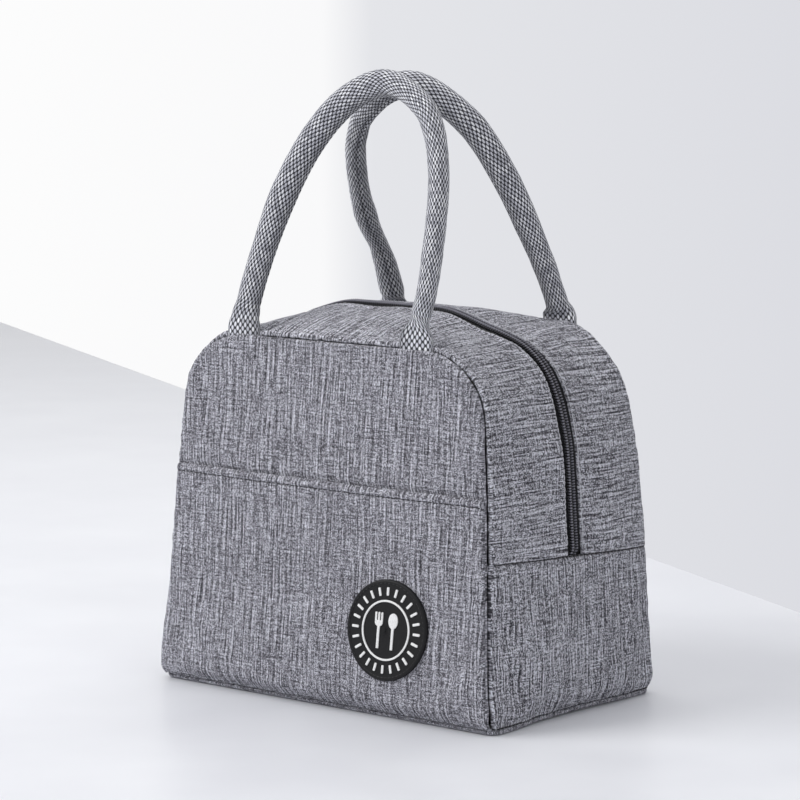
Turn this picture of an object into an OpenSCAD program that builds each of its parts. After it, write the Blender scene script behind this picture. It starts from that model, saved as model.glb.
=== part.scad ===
// Insulated lunch bag: a soft box of cloth, foam and foil with a zip over its top,
// two corded webbing handles, a front slip pocket and a moulded badge.
// X runs across the front, Y from front to back and Z up. The origin is the middle of the foot.

/* [Body] */
// Width of the body at its foot
body_w = 224; // [205:1:240]
// Depth of the body at its foot
body_d = 139; // [125:1:150]
// Height of the top seams above the table
body_h = 188.5; // [175:0.5:205]
// Inward lean of the two side walls, in degrees
side_lean = 4.35; // [2:0.05:5]
// Inward lean of the front and back walls, in degrees
panel_lean = 3.2; // [1:0.1:5]
// Radius of the rounded top corners of the front and back
corner_r = 40; // [32:1:48]
// Outward swell of the top and sides along the zip line
crown = 4.5; // [1:0.5:6]
// Outward swell of the front and back at their middles
swell = 3; // [1:0.5:5]
// Height of the two lower side panels' top edges, where the zip ends
side_h = 81; // [70:1:95]

/* [Cloth, foam and foil] */
// Thickness of the woven outer cloth
cloth_t = 1; // [0.6:0.1:1.2]
// Thickness of the foam
foam_t = 4; // [3:0.5:5]
// Thickness of the foil lining
foil_t = 0.4; // [0.3:0.1:0.6]
// Air left between layers, so that faceted curves never cross
layer_gap = 0.1; // [0.05:0.01:0.15]
// Height of the turned-up edge of the base panel
band_h = 4.5; // [3:0.5:6]
// Distance that the base stands inside the walls
base_inset = 3.5; // [2:0.5:5]
// Radius of the base's corners
base_corner_r = 8; // [5:1:12]
// Distance that the walls roll inwards at their foot
tuck = 4.2; // [3:0.1:6]
// Height over which they roll inwards
tuck_h = 18; // [12:1:24]

/* [Pocket and badge] */
// Height of the pocket's mouth above the table
pocket_h = 116; // [100:1:125]
// Space between the pocket cloth and the front panel
pocket_gap = 0.4; // [0.3:0.1:1]
// Badge diameter
badge_d = 50.5; // [40:1:58]
// Badge thickness
badge_t = 1.6; // [1:0.1:2.5]
// Distance of the badge's middle to the right of the bag's middle
badge_x = 47.3; // [30:1:60]
// Height of the badge's middle
badge_z = 46; // [40:1:50]

/* [Zip] */
// Width left open between the two cloth edges beside the zip
zip_opening = 8; // [7:0.5:10]
// Width of one zip tape
tape_w = 13; // [11:0.5:15]
// Thickness of the tape
tape_t = 0.6; // [0.4:0.1:0.8]
// Width of the closed chain of coils
chain_w = 6; // [5:0.5:7]
// Thickness of the chain
chain_t = 1.5; // [1.2:0.1:2]
// Slider length along the zip
slider_len = 12; // [10:0.5:14]
// Slider width across the zip
slider_w = 9; // [8:0.5:10]
// Pull length
pull_len = 30; // [20:1:40]

/* [Handles] */
// Distance from the bag's middle to the middle of each handle end
foot_x = 57; // [50:1:65]
// Length of the front handle's loop along its own plane, to the cord's middle
front_rise = 128.7; // [120:0.1:150]
// The same for the back handle
back_rise = 137.2; // [120:0.1:150]
// Lean of the front handle towards the middle, in degrees
front_tilt = 16.5; // [14:0.5:17]
// Lean of the back handle towards the middle, in degrees
back_tilt = 27; // [24:0.5:27]
// Sideways sway of the front handle's top
front_sway = 3; // [-10:0.5:10]
// Sideways sway of the back handle's top
back_sway = 7; // [-10:0.5:10]
// Outside diameter of the corded handle
handle_d = 13; // [11:0.5:14]
// Width of the flattened end that is sewn into the seam
tab_w = 21; // [18:1:25]
// Thickness of the flattened end
tab_t = 3; // [2.5:0.1:4]
// Thickness of the handle webbing
web_t = 1.3; // [1:0.1:1.3]

/* [Hidden] */

// Depths of the layers below the outer surface, as [outer face, inner face].
cloth = [0, cloth_t - layer_gap];
foam = [cloth_t, cloth_t + foam_t - layer_gap];
foil = [cloth_t + foam_t, cloth_t + foam_t + foil_t];
wall_t = foil[1];

split_gap = 0.3; // between the fixed lower body and the two opening halves
split_z = side_h + split_gap;
corner_z = body_h - corner_r;
corner_x = side_x(corner_z, corner_r);
arc_steps = 5;
panel_columns = 6;

cloth_colour = "#8f8f95";
foam_colour = "#f2f2ee";
foil_colour = "#c9ccd0";
zip_colour = "#2b2b30";
metal_colour = "#4a4a50";
web_colour = "#74757c";

// ---------- outlines and surfaces ----------

// How far the walls have rolled inwards at height z.
function roll_in(z) = tuck * pow(1 - min(1, max(0, (z - band_h) / tuck_h)), 2.2);

// Half width of the body at height z, on a surface i below the outer one.
function side_x(z, i) = body_w / 2 - roll_in(z) - (i + z * sin(side_lean)) / cos(side_lean);

// The same, round the top corner too.
function half_width(z, i) =
    z < corner_z + (corner_r - i) * sin(side_lean)
        ? side_x(z, i)
        : corner_x + sqrt(max(0, pow(corner_r - i, 2) - pow(z - corner_z, 2)));

// Front wall at height z, i below its outer face, before any swell.
function wall_y(z, i = 0) = -(body_d / 2 - roll_in(z) - z * tan(panel_lean)) + i / cos(panel_lean);

// Swell of the front at height z, a share s of the way from its middle to its side: none at the seams.
function panel_swell(s, z) =
    let (t = (z - band_h) / (body_h - band_h))
    swell * 4 * t * (1 - t) * max(0, 1 - s * s);

// Swell of the sides at height z, a share s of the way from the middle to the front or back seam.
function side_crown(s, z) =
    let (up = min(1, (z - band_h) / 40))
    crown * max(0, 1 - s * s) * up * (2 - up);

// The same for the top and sides at depth y.
function wall_crown(y, z) = side_crown(y / wall_y(z), z);

// Heights of the rows of a front or back panel's upper part, round the corner and up to the top.
function upper_rows(i) = concat(
    [split_z, 108],
    [for (k = [0:arc_steps]) corner_z + (corner_r - i) * sin(side_lean + k * (90 - side_lean) / arc_steps)]);

lower_rows = [band_h, band_h + 3, band_h + 8, band_h + tuck_h, 50, side_h];
pocket_rows = [split_z, pocket_h];

// One row of points across the front at height z, i below the surface, inside an outline inset by edge.
function panel_row(z, i, edge) = [
    for (k = [0:panel_columns])
        let (s = 2 * k / panel_columns - 1)
            [half_width(z, edge) * s, wall_y(z, i) - panel_swell(s, z), z]
];

// The inverted U of the gusset, i below the outer surface, as [x, z] from the left end to the right.
function gusset_outline(i) =
    let (
        right = concat(
            [for (k = [0:arc_steps])
                let (a = 90 - k * (90 - side_lean) / arc_steps)
                    [corner_x + (corner_r - i) * cos(a), corner_z + (corner_r - i) * sin(a)]],
            [for (z = [112, split_z]) [side_x(z, i), z]])
    )
    concat([for (k = [len(right) - 1:-1:0]) [-right[k][0], right[k][1]]], right);

// Points of the gusset at one station, i below the outer surface, with the crown pushed outwards.
// The station y counts from the front wall's outer face if it is 0 or more, and is a place if below 0.
function gusset_points(y, i) =
    let (line = gusset_outline(i))
    [for (k = [0:len(line) - 1])
        let (
            yy = y >= 0 ? wall_y(line[k][1], y) : y,
            out = gusset_outline(i - wall_crown(yy, line[k][1]))[k]
        )
        [out[0], yy, out[1]]];

// One row of a side wall at height z: from the front seam to the back seam.
function side_row(z, i, front) = [
    for (k = [0:panel_columns])
        let (s = 1 - 2 * k / panel_columns)
            [side_x(z, i - side_crown(s, z)), wall_y(z, front) * s, z]
];

// ---------- solids from rows of points ----------

// A closed sheet between two faces, each a list of rows of points.
module sheet(outer, inner) {
    rows = len(outer);
    columns = len(outer[0]);
    far = rows * columns;
    points = concat([for (r = outer) each r], [for (r = inner) each r]);
    function at(r, c) = r * columns + c;
    function quad(a, b, c, d) = [[a, b, c], [a, c, d]];
    faces = concat(
        [for (r = [0:rows - 2], c = [0:columns - 2])
            each quad(at(r, c), at(r + 1, c), at(r + 1, c + 1), at(r, c + 1))],
        [for (r = [0:rows - 2], c = [0:columns - 2])
            each quad(far + at(r, c), far + at(r, c + 1), far + at(r + 1, c + 1), far + at(r + 1, c))],
        [for (c = [0:columns - 2])
            each quad(at(0, c), at(0, c + 1), far + at(0, c + 1), far + at(0, c))],
        [for (c = [0:columns - 2])
            each quad(at(rows - 1, c + 1), at(rows - 1, c), far + at(rows - 1, c), far + at(rows - 1, c + 1))],
        [for (r = [0:rows - 2])
            each quad(at(r + 1, 0), at(r, 0), far + at(r, 0), far + at(r + 1, 0))],
        [for (r = [0:rows - 2])
            each quad(at(r, columns - 1), at(r + 1, columns - 1),
                      far + at(r + 1, columns - 1), far + at(r, columns - 1))]);
    polyhedron(points, faces);
}

// One layer of the front, between two depths, inside an outline inset by edge.
module panel_layer(rows_out, rows_in, depth, edge) {
    sheet([for (z = rows_out) panel_row(z, depth[0], edge)],
          [for (z = rows_in) panel_row(z, depth[1], edge)]);
}

module lower_panel(depth, edge) {
    panel_layer(lower_rows, lower_rows, depth, edge);
}

module upper_panel(depth, edge) {
    panel_layer(upper_rows(edge), upper_rows(edge), depth, edge);
}

// One layer of the gusset's front half. stations is a list of [y, outer depth, inner depth].
module gusset_layer(stations) {
    sheet([for (s = stations) gusset_points(s[0], s[1])],
          [for (s = stations) gusset_points(s[0], s[2])]);
}

// One layer of the right-hand lower side wall.
module side_layer(depth, front) {
    sheet([for (z = lower_rows) side_row(z, depth[0], front)],
          [for (z = lower_rows) side_row(z, depth[1], front)]);
}

module to_back() { mirror([0, 1, 0]) children(); }
module to_left() { mirror([1, 0, 0]) children(); }

// ---------- base ----------

// Upright slab with rounded corners, the base's outline inset by i.
module base_slab(i, height) {
    w = body_w - 2 * (base_inset + i);
    d = body_d - 2 * (base_inset + i);
    r = base_corner_r - i;
    linear_extrude(height) union() {
        square([w - 2 * r, d], center = true);
        square([w, d - 2 * r], center = true);
        for (x = [-1, 1], y = [-1, 1]) translate([x * (w / 2 - r), y * (d / 2 - r)]) circle(r, $fn = 48);
    }
}

module base_panel() {
    color(cloth_colour) difference() {
        base_slab(0, band_h - layer_gap);
        translate([0, 0, cloth_t]) base_slab(cloth_t, band_h);
    }
}

base_foam_t = band_h - cloth_t - foil_t - 2 * layer_gap;

module base_foam() {
    color(foam_colour) translate([0, 0, cloth_t + layer_gap]) base_slab(cloth_t + layer_gap, base_foam_t);
}

module base_lining() {
    color(foil_colour) translate([0, 0, band_h - foil_t - layer_gap / 2])
        base_slab(cloth_t + layer_gap, foil_t);
}

// Tape over the inside of the seam round the base.
module base_seam_binding() {
    h = 8;
    t = 1;
    w = 2 * (side_x(band_h, wall_t) - 0.5);
    d = -2 * (wall_y(band_h, wall_t) + 0.5);
    color(zip_colour) translate([0, 0, band_h + 0.1]) linear_extrude(h) difference() {
        square([w, d], center = true);
        square([w - 2 * t, d - 2 * t], center = true);
    }
}

// ---------- lower side walls ----------

module side_panel_right() { color(cloth_colour) side_layer(cloth, cloth_t); }
module side_foam_right() { color(foam_colour) side_layer(foam, cloth_t + foam_t); }
module side_lining_right() { color(foil_colour) side_layer(foil, wall_t); }
module side_panel_left() { to_left() side_panel_right(); }
module side_foam_left() { to_left() side_foam_right(); }
module side_lining_left() { to_left() side_lining_right(); }

// Four upright strips that cover the inside corner seams below the opening halves.
module side_seam_bindings() {
    w = 9;
    t = 1;
    z0 = band_h + tuck_h + 0.5;
    z1 = side_h - 0.5;
    inside = wall_t + 0.3;
    color(zip_colour) for (x = [-1, 1], y = [-1, 1]) scale_to_side(x) scale_to_back(y)
        sheet([for (z = [z0, z1]) [
                  [side_x(z, inside), wall_y(z, inside), z],
                  [side_x(z, inside), wall_y(z, inside + w), z]]],
              [for (z = [z0, z1]) [
                  [side_x(z, inside + t), wall_y(z, inside), z],
                  [side_x(z, inside + t), wall_y(z, inside + w), z]]]);
}

module scale_to_side(x) { mirror([x < 0 ? 1 : 0, 0, 0]) children(); }
module scale_to_back(y) { mirror([0, y > 0 ? 1 : 0, 0]) children(); }

// ---------- front and back ----------

module front_panel_lower() { color(cloth_colour) lower_panel(cloth, 0); }
module front_foam_lower() { color(foam_colour) lower_panel(foam, cloth_t); }
module front_lining_lower() { color(foil_colour) lower_panel(foil, cloth_t + foam_t); }
module front_panel_upper() { color(cloth_colour) upper_panel(cloth, 0); }
module front_foam_upper() { color(foam_colour) upper_panel(foam, cloth_t); }
module front_lining_upper() { color(foil_colour) upper_panel(foil, cloth_t + foam_t); }

module back_panel_lower() { to_back() front_panel_lower(); }
module back_foam_lower() { to_back() front_foam_lower(); }
module back_lining_lower() { to_back() front_lining_lower(); }
module back_panel_upper() { to_back() front_panel_upper(); }
module back_foam_upper() { to_back() front_foam_upper(); }
module back_lining_upper() { to_back() front_lining_upper(); }

// ---------- pocket and badge ----------

pocket = [-pocket_gap - cloth_t, -pocket_gap];

module pocket_lower() { color(cloth_colour) panel_layer(lower_rows, lower_rows, pocket, 0); }
module pocket_upper() { color(cloth_colour) panel_layer(pocket_rows, pocket_rows, pocket, 0); }

function pocket_y(x, z) = wall_y(z, pocket[0]) - panel_swell(x / half_width(z, 0), z);

// Places children on the plane that touches the pocket under the badge, with their Z out of the front.
module on_pocket(lift) {
    rise = (pocket_y(badge_x, badge_z + 1) - pocket_y(badge_x, badge_z - 1)) / 2;
    turn = (pocket_y(badge_x + 1, badge_z) - pocket_y(badge_x - 1, badge_z)) / 2;
    translate([badge_x, pocket_y(badge_x, badge_z), badge_z])
        rotate([90 - atan(rise), 0, atan(turn)]) translate([0, 0, lift]) children();
}

badge_lift = 0.1;

module badge_disc() {
    color("#141416") on_pocket(badge_lift) cylinder(d = badge_d, h = badge_t, $fn = 72);
}

// Raised white pattern: a ring, a circle of short bars and a plain fork and spoon.
module badge_inlay() {
    ring_r = badge_d * 0.3;
    bar_r = badge_d * 0.385;
    bars = 24;
    color("white") on_pocket(badge_lift + badge_t) linear_extrude(0.4) {
        difference() {
            circle(ring_r, $fn = 72);
            circle(ring_r - 1, $fn = 72);
        }
        for (k = [0:bars - 1]) rotate(k * 360 / bars) translate([bar_r, 0]) square([4.2, 1.3], center = true);
        translate([-4.5, 0]) fork();
        translate([4.5, 0]) spoon();
    }
}

module fork() {
    translate([0, -4]) square([1.5, 12], center = true);
    translate([0, 2.5]) square([5, 1.5], center = true);
    for (x = [-1.9, 0, 1.9]) translate([x, 5.5]) square([1.1, 6], center = true);
}

module spoon() {
    translate([0, -4]) square([1.5, 12], center = true);
    translate([0, 5]) circle(3.2, $fn = 48);
}

// ---------- gusset halves ----------

zip_edge = -zip_opening / 2;
middle_stations = [-46, -30];

module gusset_front() {
    color(cloth_colour) gusset_layer([for (y = concat([cloth_t], middle_stations, [-14, zip_edge]))
        [y, cloth[0], cloth[1]]]);
}

module gusset_foam_front() {
    color(foam_colour) gusset_layer([for (y = concat([cloth_t + foam_t], middle_stations, [-tape_w - 1.5]))
        [y, foam[0], foam[1]]]);
}

// The foil rises to the zip tape beside the zip.
module gusset_lining_front() {
    tape_under = cloth_t + tape_t + layer_gap;
    flat = [for (y = concat([wall_t], middle_stations, [-tape_w - 1.2])) [y, foil[0], foil[1]]];
    rise = [for (y = [-tape_w + 2, -zip_opening + 1]) [y, tape_under, tape_under + foil_t]];
    color(foil_colour) gusset_layer(concat(flat, rise));
}

// Tape over the inside of the seam between a panel and the gusset.
module front_seam_binding() {
    lift = wall_t + 0.1;
    t = 1;
    color(zip_colour) gusset_layer([for (y = [wall_t + 0.5, wall_t + 9]) [y, lift, lift + t]]);
}

module gusset_back() { to_back() gusset_front(); }
module gusset_foam_back() { to_back() gusset_foam_front(); }
module gusset_lining_back() { to_back() gusset_lining_front(); }
module back_seam_binding() { to_back() front_seam_binding(); }

// ---------- zip ----------

chain_gap = 1.8; // left between the two coils for the slider's post
chain_top = cloth_t - chain_t;

module zipper_tape_front() {
    color(zip_colour) gusset_layer([for (y = [-tape_w - 1, -chain_gap / 2 - 0.1]) [y, cloth_t, cloth_t + tape_t]]);
}

module zipper_coil_front() {
    color(zip_colour) gusset_layer([for (y = [-chain_w / 2, -chain_gap / 2]) [y, chain_top, cloth_t - layer_gap]]);
}

module zipper_tape_back() { to_back() zipper_tape_front(); }
module zipper_coil_back() { to_back() zipper_coil_front(); }

// Places children on the zip line of a side wall at height z, X out of the wall and Z along the zip.
module on_zip(side, z) {
    scale_to_side(side) translate([side_x(z, -wall_crown(0, z)), 0, z]) rotate([0, -side_lean, 0]) children();
}

// Slider: an outer and an inner plate joined by a post that parts the two coils.
slider_z = side_h + 12;
plate_t = 1.2;
outer_clearance = 1.4; // lets the coils leave sideways when the bag is opened
outer_plate = chain_t - cloth_t + outer_clearance;
inner_plate = -cloth_t - tape_t - 0.3;
bridge_bore_r = 1;
bridge_h = 4.4;

module zipper_slider() {
    color(metal_colour) on_zip(-1, slider_z) difference() {
        union() {
            translate([outer_plate, -slider_w / 2, -slider_len / 2]) cube([plate_t, slider_w, slider_len]);
            translate([inner_plate - plate_t, -slider_w / 2, -slider_len / 2])
                cube([plate_t, slider_w, slider_len]);
            translate([inner_plate - 0.1, -0.6, -slider_len / 2])
                cube([outer_plate - inner_plate + 0.2, 1.2, 3]);
            for (y = [-1, 1]) translate([outer_plate + plate_t - 0.1, y * 1.9 - 0.5, -3])
                cube([bridge_h, 1, 6]);
        }
        translate([outer_plate + plate_t + 2.2, 0, 0]) rotate([90, 0, 0])
            cylinder(r = bridge_bore_r, h = 12, center = true, $fn = 32);
    }
}

// Pull: a tab with a cross pin that turns in the slider's two ears.
pull_w = 6.5;
pull_t = 1.4;
pin_clearance = 0.05;
ear_gap = 1.9 * 2 - 1;

module zipper_pull() {
    neck = ear_gap - 0.3;
    color(metal_colour) on_zip(-1, slider_z) translate([outer_plate + plate_t + 2.2, 0, 0]) {
        rotate([90, 0, 0]) cylinder(r = bridge_bore_r - pin_clearance, h = 5.2, center = true, $fn = 32);
        translate([-pull_t / 2, -neck / 2, -9]) cube([pull_t, neck, 9]);
        translate([-pull_t / 2, 0, -pull_len]) rotate([0, 90, 0]) linear_extrude(pull_t) difference() {
            union() {
                translate([-(pull_len - 8), -pull_w / 2]) square([pull_len - 12, pull_w]);
                translate([-4, 0]) circle(pull_w / 2, $fn = 48);
            }
            translate([-5, 0]) circle(1.6, $fn = 32);
        }
    }
}

// ---------- handles ----------

// Pivot of the front handle: the outer face of its flat end, just above the seam.
pivot_y = wall_y(body_h) + 0.3;
pivot_z = body_h + 5;

// Flat stub of webbing that stands out of the seam under each handle end.
module front_handle_ends() {
    color(web_colour) for (x = [-foot_x, foot_x])
        translate([x - tab_w / 2, pivot_y, body_h + 0.45]) cube([tab_w, tab_t, pivot_z - body_h - 2.1]);
}

module back_handle_ends() { to_back() front_handle_ends(); }

handle_sides = 12;
handle_rings = 26;
flat_len = 12; // length over which the flat end turns into the round cord

// Arch of the handle in its own plane: [x, height] at angle a from 0 to 180.
function arch(a, rise, sway) = [
    foot_x * sign(cos(a)) * pow(abs(cos(a)), 1.1) + sway * sin(a),
    rise * pow(sin(a), 0.8)
];

// Share of the way from flat to round at height h.
function roundness(h) = let (t = min(1, max(0, (h - 3) / flat_len))) t * t * (3 - 2 * t);

// Ring k of the arch, thinned by inset: an ellipse, wide and flat at the ends.
function handle_ring(k, rise, sway, inset, first) =
    let (
        a = first + k * (180 - 2 * first) / handle_rings,
        here = arch(a, rise, sway),
        before = arch(max(0, a - 0.5), rise, sway),
        after = arch(min(180, a + 0.5), rise, sway),
        run = after - before,
        along = k == 0 && first == 0 ? [0, 1] : k == handle_rings && first == 0 ? [0, -1] : run / norm(run),
        across = [-along[1], along[0]],
        m = roundness(here[1]),
        wide = (tab_w * (1 - m) + handle_d * m) / 2 - inset,
        thick = (tab_t * (1 - m) + handle_d * m) / 2 - inset
    )
    [for (s = [0:handle_sides - 1])
        let (b = 360 * s / handle_sides)
            [here[0] + across[0] * wide * cos(b), tab_t / 2 + thick * sin(b), here[1] + across[1] * wide * cos(b)]];

// Solid tube through the rings, or a hollow one when there is an inner set.
module tube(outer, inner) {
    rings = len(outer);
    sides = len(outer[0]);
    hollow = len(inner) > 0;
    far = rings * sides;
    points = concat([for (r = outer) each r], [for (r = inner) each r]);
    function at(r, s) = r * sides + (s % sides);
    function quad(a, b, c, d) = [[a, b, c], [a, c, d]];
    skin = [for (r = [0:rings - 2], s = [0:sides - 1])
        each quad(at(r, s), at(r, s + 1), at(r + 1, s + 1), at(r + 1, s))];
    bore = [for (r = [0:rings - 2], s = [0:sides - 1])
        each quad(far + at(r + 1, s), far + at(r + 1, s + 1), far + at(r, s + 1), far + at(r, s))];
    rim = [for (s = [0:sides - 1])
        each concat(quad(far + at(0, s), far + at(0, s + 1), at(0, s + 1), at(0, s)),
                    quad(at(rings - 1, s), at(rings - 1, s + 1), far + at(rings - 1, s + 1), far + at(rings - 1, s)))];
    ends = [[for (s = [sides - 1:-1:0]) at(0, s)], [for (s = [0:sides - 1]) at(rings - 1, s)]];
    polyhedron(points, hollow ? concat(skin, bore, rim) : concat(skin, ends));
}

// Leans a handle built upright about its pivot.
module lean_in(tilt) {
    translate([0, pivot_y, pivot_z]) rotate([-tilt, 0, 0]) children();
}

module webbing(rise, sway) {
    rings = [0:handle_rings];
    tube([for (k = rings) handle_ring(k, rise, sway, 0, 0)],
         [for (k = rings) handle_ring(k, rise, sway, web_t, 0)]);
}

module core(rise, sway) {
    tube([for (k = [0:handle_rings]) handle_ring(k, rise, sway, web_t + 0.2, 6.5)], []);
}

module front_handle_webbing() { color(web_colour) lean_in(front_tilt) webbing(front_rise, front_sway); }
module front_handle_core() { color(foam_colour) lean_in(front_tilt) core(front_rise, front_sway); }
module back_handle_webbing() { color(web_colour) to_back() lean_in(back_tilt) webbing(back_rise, back_sway); }
module back_handle_core() { color(foam_colour) to_back() lean_in(back_tilt) core(back_rise, back_sway); }

// ---------- nodes ----------

base_panel();
base_foam();
base_lining();
base_seam_binding();
side_panel_left();
side_foam_left();
side_lining_left();
side_panel_right();
side_foam_right();
side_lining_right();
side_seam_bindings();
front_panel_lower();
front_foam_lower();
front_lining_lower();
front_panel_upper();
front_foam_upper();
front_lining_upper();
back_panel_lower();
back_foam_lower();
back_lining_lower();
back_panel_upper();
back_foam_upper();
back_lining_upper();
pocket_lower();
pocket_upper();
badge_disc();
badge_inlay();
gusset_front();
gusset_foam_front();
gusset_lining_front();
front_seam_binding();
gusset_back();
gusset_foam_back();
gusset_lining_back();
back_seam_binding();
zipper_tape_front();
zipper_tape_back();
zipper_coil_front();
zipper_coil_back();
zipper_slider();
zipper_pull();
front_handle_ends();
front_handle_webbing();
front_handle_core();
back_handle_ends();
back_handle_webbing();
back_handle_core();
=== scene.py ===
"""The lunch bag's looks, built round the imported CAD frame. Lengths are in millimetres until a mesh is made."""

import math

import bmesh
import bpy
import numpy as np
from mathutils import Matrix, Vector


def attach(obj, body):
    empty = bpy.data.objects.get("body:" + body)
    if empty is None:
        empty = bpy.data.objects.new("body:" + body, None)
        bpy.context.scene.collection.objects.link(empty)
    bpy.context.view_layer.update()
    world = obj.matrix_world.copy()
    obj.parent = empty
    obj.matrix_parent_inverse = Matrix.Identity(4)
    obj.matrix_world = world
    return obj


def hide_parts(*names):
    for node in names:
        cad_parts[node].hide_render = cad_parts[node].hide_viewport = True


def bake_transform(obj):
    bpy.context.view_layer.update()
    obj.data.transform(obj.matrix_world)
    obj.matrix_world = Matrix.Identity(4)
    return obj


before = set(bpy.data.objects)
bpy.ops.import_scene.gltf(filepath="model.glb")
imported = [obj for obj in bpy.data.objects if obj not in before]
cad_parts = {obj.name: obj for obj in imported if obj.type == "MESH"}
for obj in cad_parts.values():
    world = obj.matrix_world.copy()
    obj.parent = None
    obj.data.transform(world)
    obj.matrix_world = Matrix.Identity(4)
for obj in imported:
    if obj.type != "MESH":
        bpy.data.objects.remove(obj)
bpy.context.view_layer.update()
PI = math.pi

# ---------------------------------------------------------------- sizes, as in the CAD model
BODY_W, BODY_D, BODY_H = 224.0, 139.0, 188.5
SIDE_LEAN, WALL_LEAN = math.radians(4.35), math.radians(3.2)
CORNER_R, CROWN, SWELL = 40.0, 5.2, 3.0
DOME, DOME_HALF, BACK_LIFT, WIDER, LOW_BULGE = 10.5, 57.0, 3.9, 2.0, 3.4
BAND_H, BASE_INSET, BASE_R, TUCK = 4.5, 2.6, 6.0, 2.4
FOOT_Z = 3.3  # height of the seam round the base
ROLL_Z = 13.0  # height from which the walls roll inwards to it
FOLD_Z, POCKET_H = 81.0, 116.0
BADGE_X, BADGE_Z, BADGE_D = 47.8, 46.0, 50.5
FOOT_X, TAB_W, TAB_T = 57.0, 21.0, 3.0
CORNER_Z = BODY_H - CORNER_R

# cloth turns into a seam round a bead of this radius, and two beads touch along the corner's middle line
BEAD = 1.45
ROLL = (1 + math.sqrt(2)) * BEAD + 0.22  # distance from the sharp corner at which the turn starts
TURNED = np.radians([78, 70, 61, 52, 43, 34, 24, 13, 0])  # how far the cloth has turned at each of the first rows
SEAM_STEPS = np.append(BEAD * (math.sin(TURNED[0]) - np.sin(TURNED)), BEAD * math.sin(TURNED[0]) + 0.9)
SEAM = ROLL - BEAD * math.sin(TURNED[0])  # distance from the corner at which the drawn surface ends
LIP = np.radians([88, 100, 112, 124, 135])  # the rest of the turn, out of sight in the seam
LIP_IN = np.append(ROLL - BEAD * np.sin(LIP), ROLL - BEAD * math.sin(LIP[-1]) + 0.7) - SEAM
LIP_DEEP = np.append(BEAD * (1 - np.cos(LIP)), BEAD * (1 - math.cos(LIP[-1])) + 0.7) - BEAD * (1 - math.cos(TURNED[0]))
CLOTH_T = 0.55
STEP = 1.7


def side_x(z, i=0.0):
    """Half width of the body at height z, on a surface i below the outer one."""
    return BODY_W / 2 - (i + z * math.sin(SIDE_LEAN)) / math.cos(SIDE_LEAN)


def wall_y(z, i=0.0):
    """The front wall at height z, i below its outer face."""
    return -(BODY_D / 2 - z * math.tan(WALL_LEAN)) + i / math.cos(WALL_LEAN)


CORNER_X = side_x(CORNER_Z, CORNER_R)


def points(*axes):
    """Points from their coordinates, which are arrays of one shape or stretch to one."""
    return np.stack(np.broadcast_arrays(*axes), -1)


def smooth(t):
    t = np.clip(t, 0, 1)
    return t * t * (3 - 2 * t)


def mix(a, b, t):
    return a + (b - a) * t


def waves(u, v, size, seed, count=9):
    """Soft random undulation of about -1 to 1, with features of about that size."""
    rng = np.random.RandomState(seed)
    total = 0.0
    for _ in range(count):
        angle, phase = rng.uniform(0, 2 * PI, 2)
        k = 2 * PI / (size * rng.uniform(0.7, 1.6))
        total = total + np.sin(k * (u * math.cos(angle) + v * math.sin(angle)) + phase)
    return total / math.sqrt(count)


def half_width(z, i):
    """Half width at height z, i inside the outline, round the top corners too."""
    arc = CORNER_X + np.sqrt(np.clip((CORNER_R - i) ** 2 - (z - CORNER_Z) ** 2, 0, None))
    return np.where(z < CORNER_Z + (CORNER_R - i) * math.sin(SIDE_LEAN), side_x(z, i), arc)


def edge_distance(x, z):
    """Distance inside the front's outline, not counting its foot."""
    x = np.abs(x)
    side = (side_x(z) - x) * math.cos(SIDE_LEAN)
    dx, dz = x - CORNER_X, z - CORNER_Z
    arc = CORNER_R - np.hypot(dx, dz)
    return np.where((dx > 0) & (dz > dx * math.tan(SIDE_LEAN)), arc, np.minimum(side, BODY_H - z))


def roll(d, bead=BEAD, reach=ROLL):
    """Depth that cloth sinks to at a distance d from the sharp edge beside its seam."""
    t = np.clip((reach - d) / bead, 0, math.sin(TURNED[0]))
    return bead * (1 - np.sqrt(1 - t * t))


def lips(edge, inward, deep):
    """The rows that follow an edge into its seam: inward along the surface and down into it."""
    return [edge + a * inward + b * deep for a, b in zip(LIP_IN, LIP_DEEP)]


def foot_roll(z):
    """How far the walls roll inwards near the base."""
    t = np.clip((ROLL_Z - z) / (ROLL_Z - FOOT_Z), 0, 1)
    return TUCK * (0.3 * (1 - np.sqrt(np.clip(1 - t**2.4, 0, 1))) + 0.7 * t**2.1)


def panel_swell(s, z):
    t = np.clip((z - BAND_H) / (BODY_H - BAND_H), 0, 1)
    return SWELL * 4 * t * (1 - t) * np.clip(1 - s * s, 0, 1)


def side_crown(s, z):
    up = np.clip((z - BAND_H) / 40, 0, 1)
    flatter = 1 - 0.8 * smooth((z - 132) / 34)
    return CROWN * flatter * np.clip(1 - s * s, 0, 1) * up * (2 - up)


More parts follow.
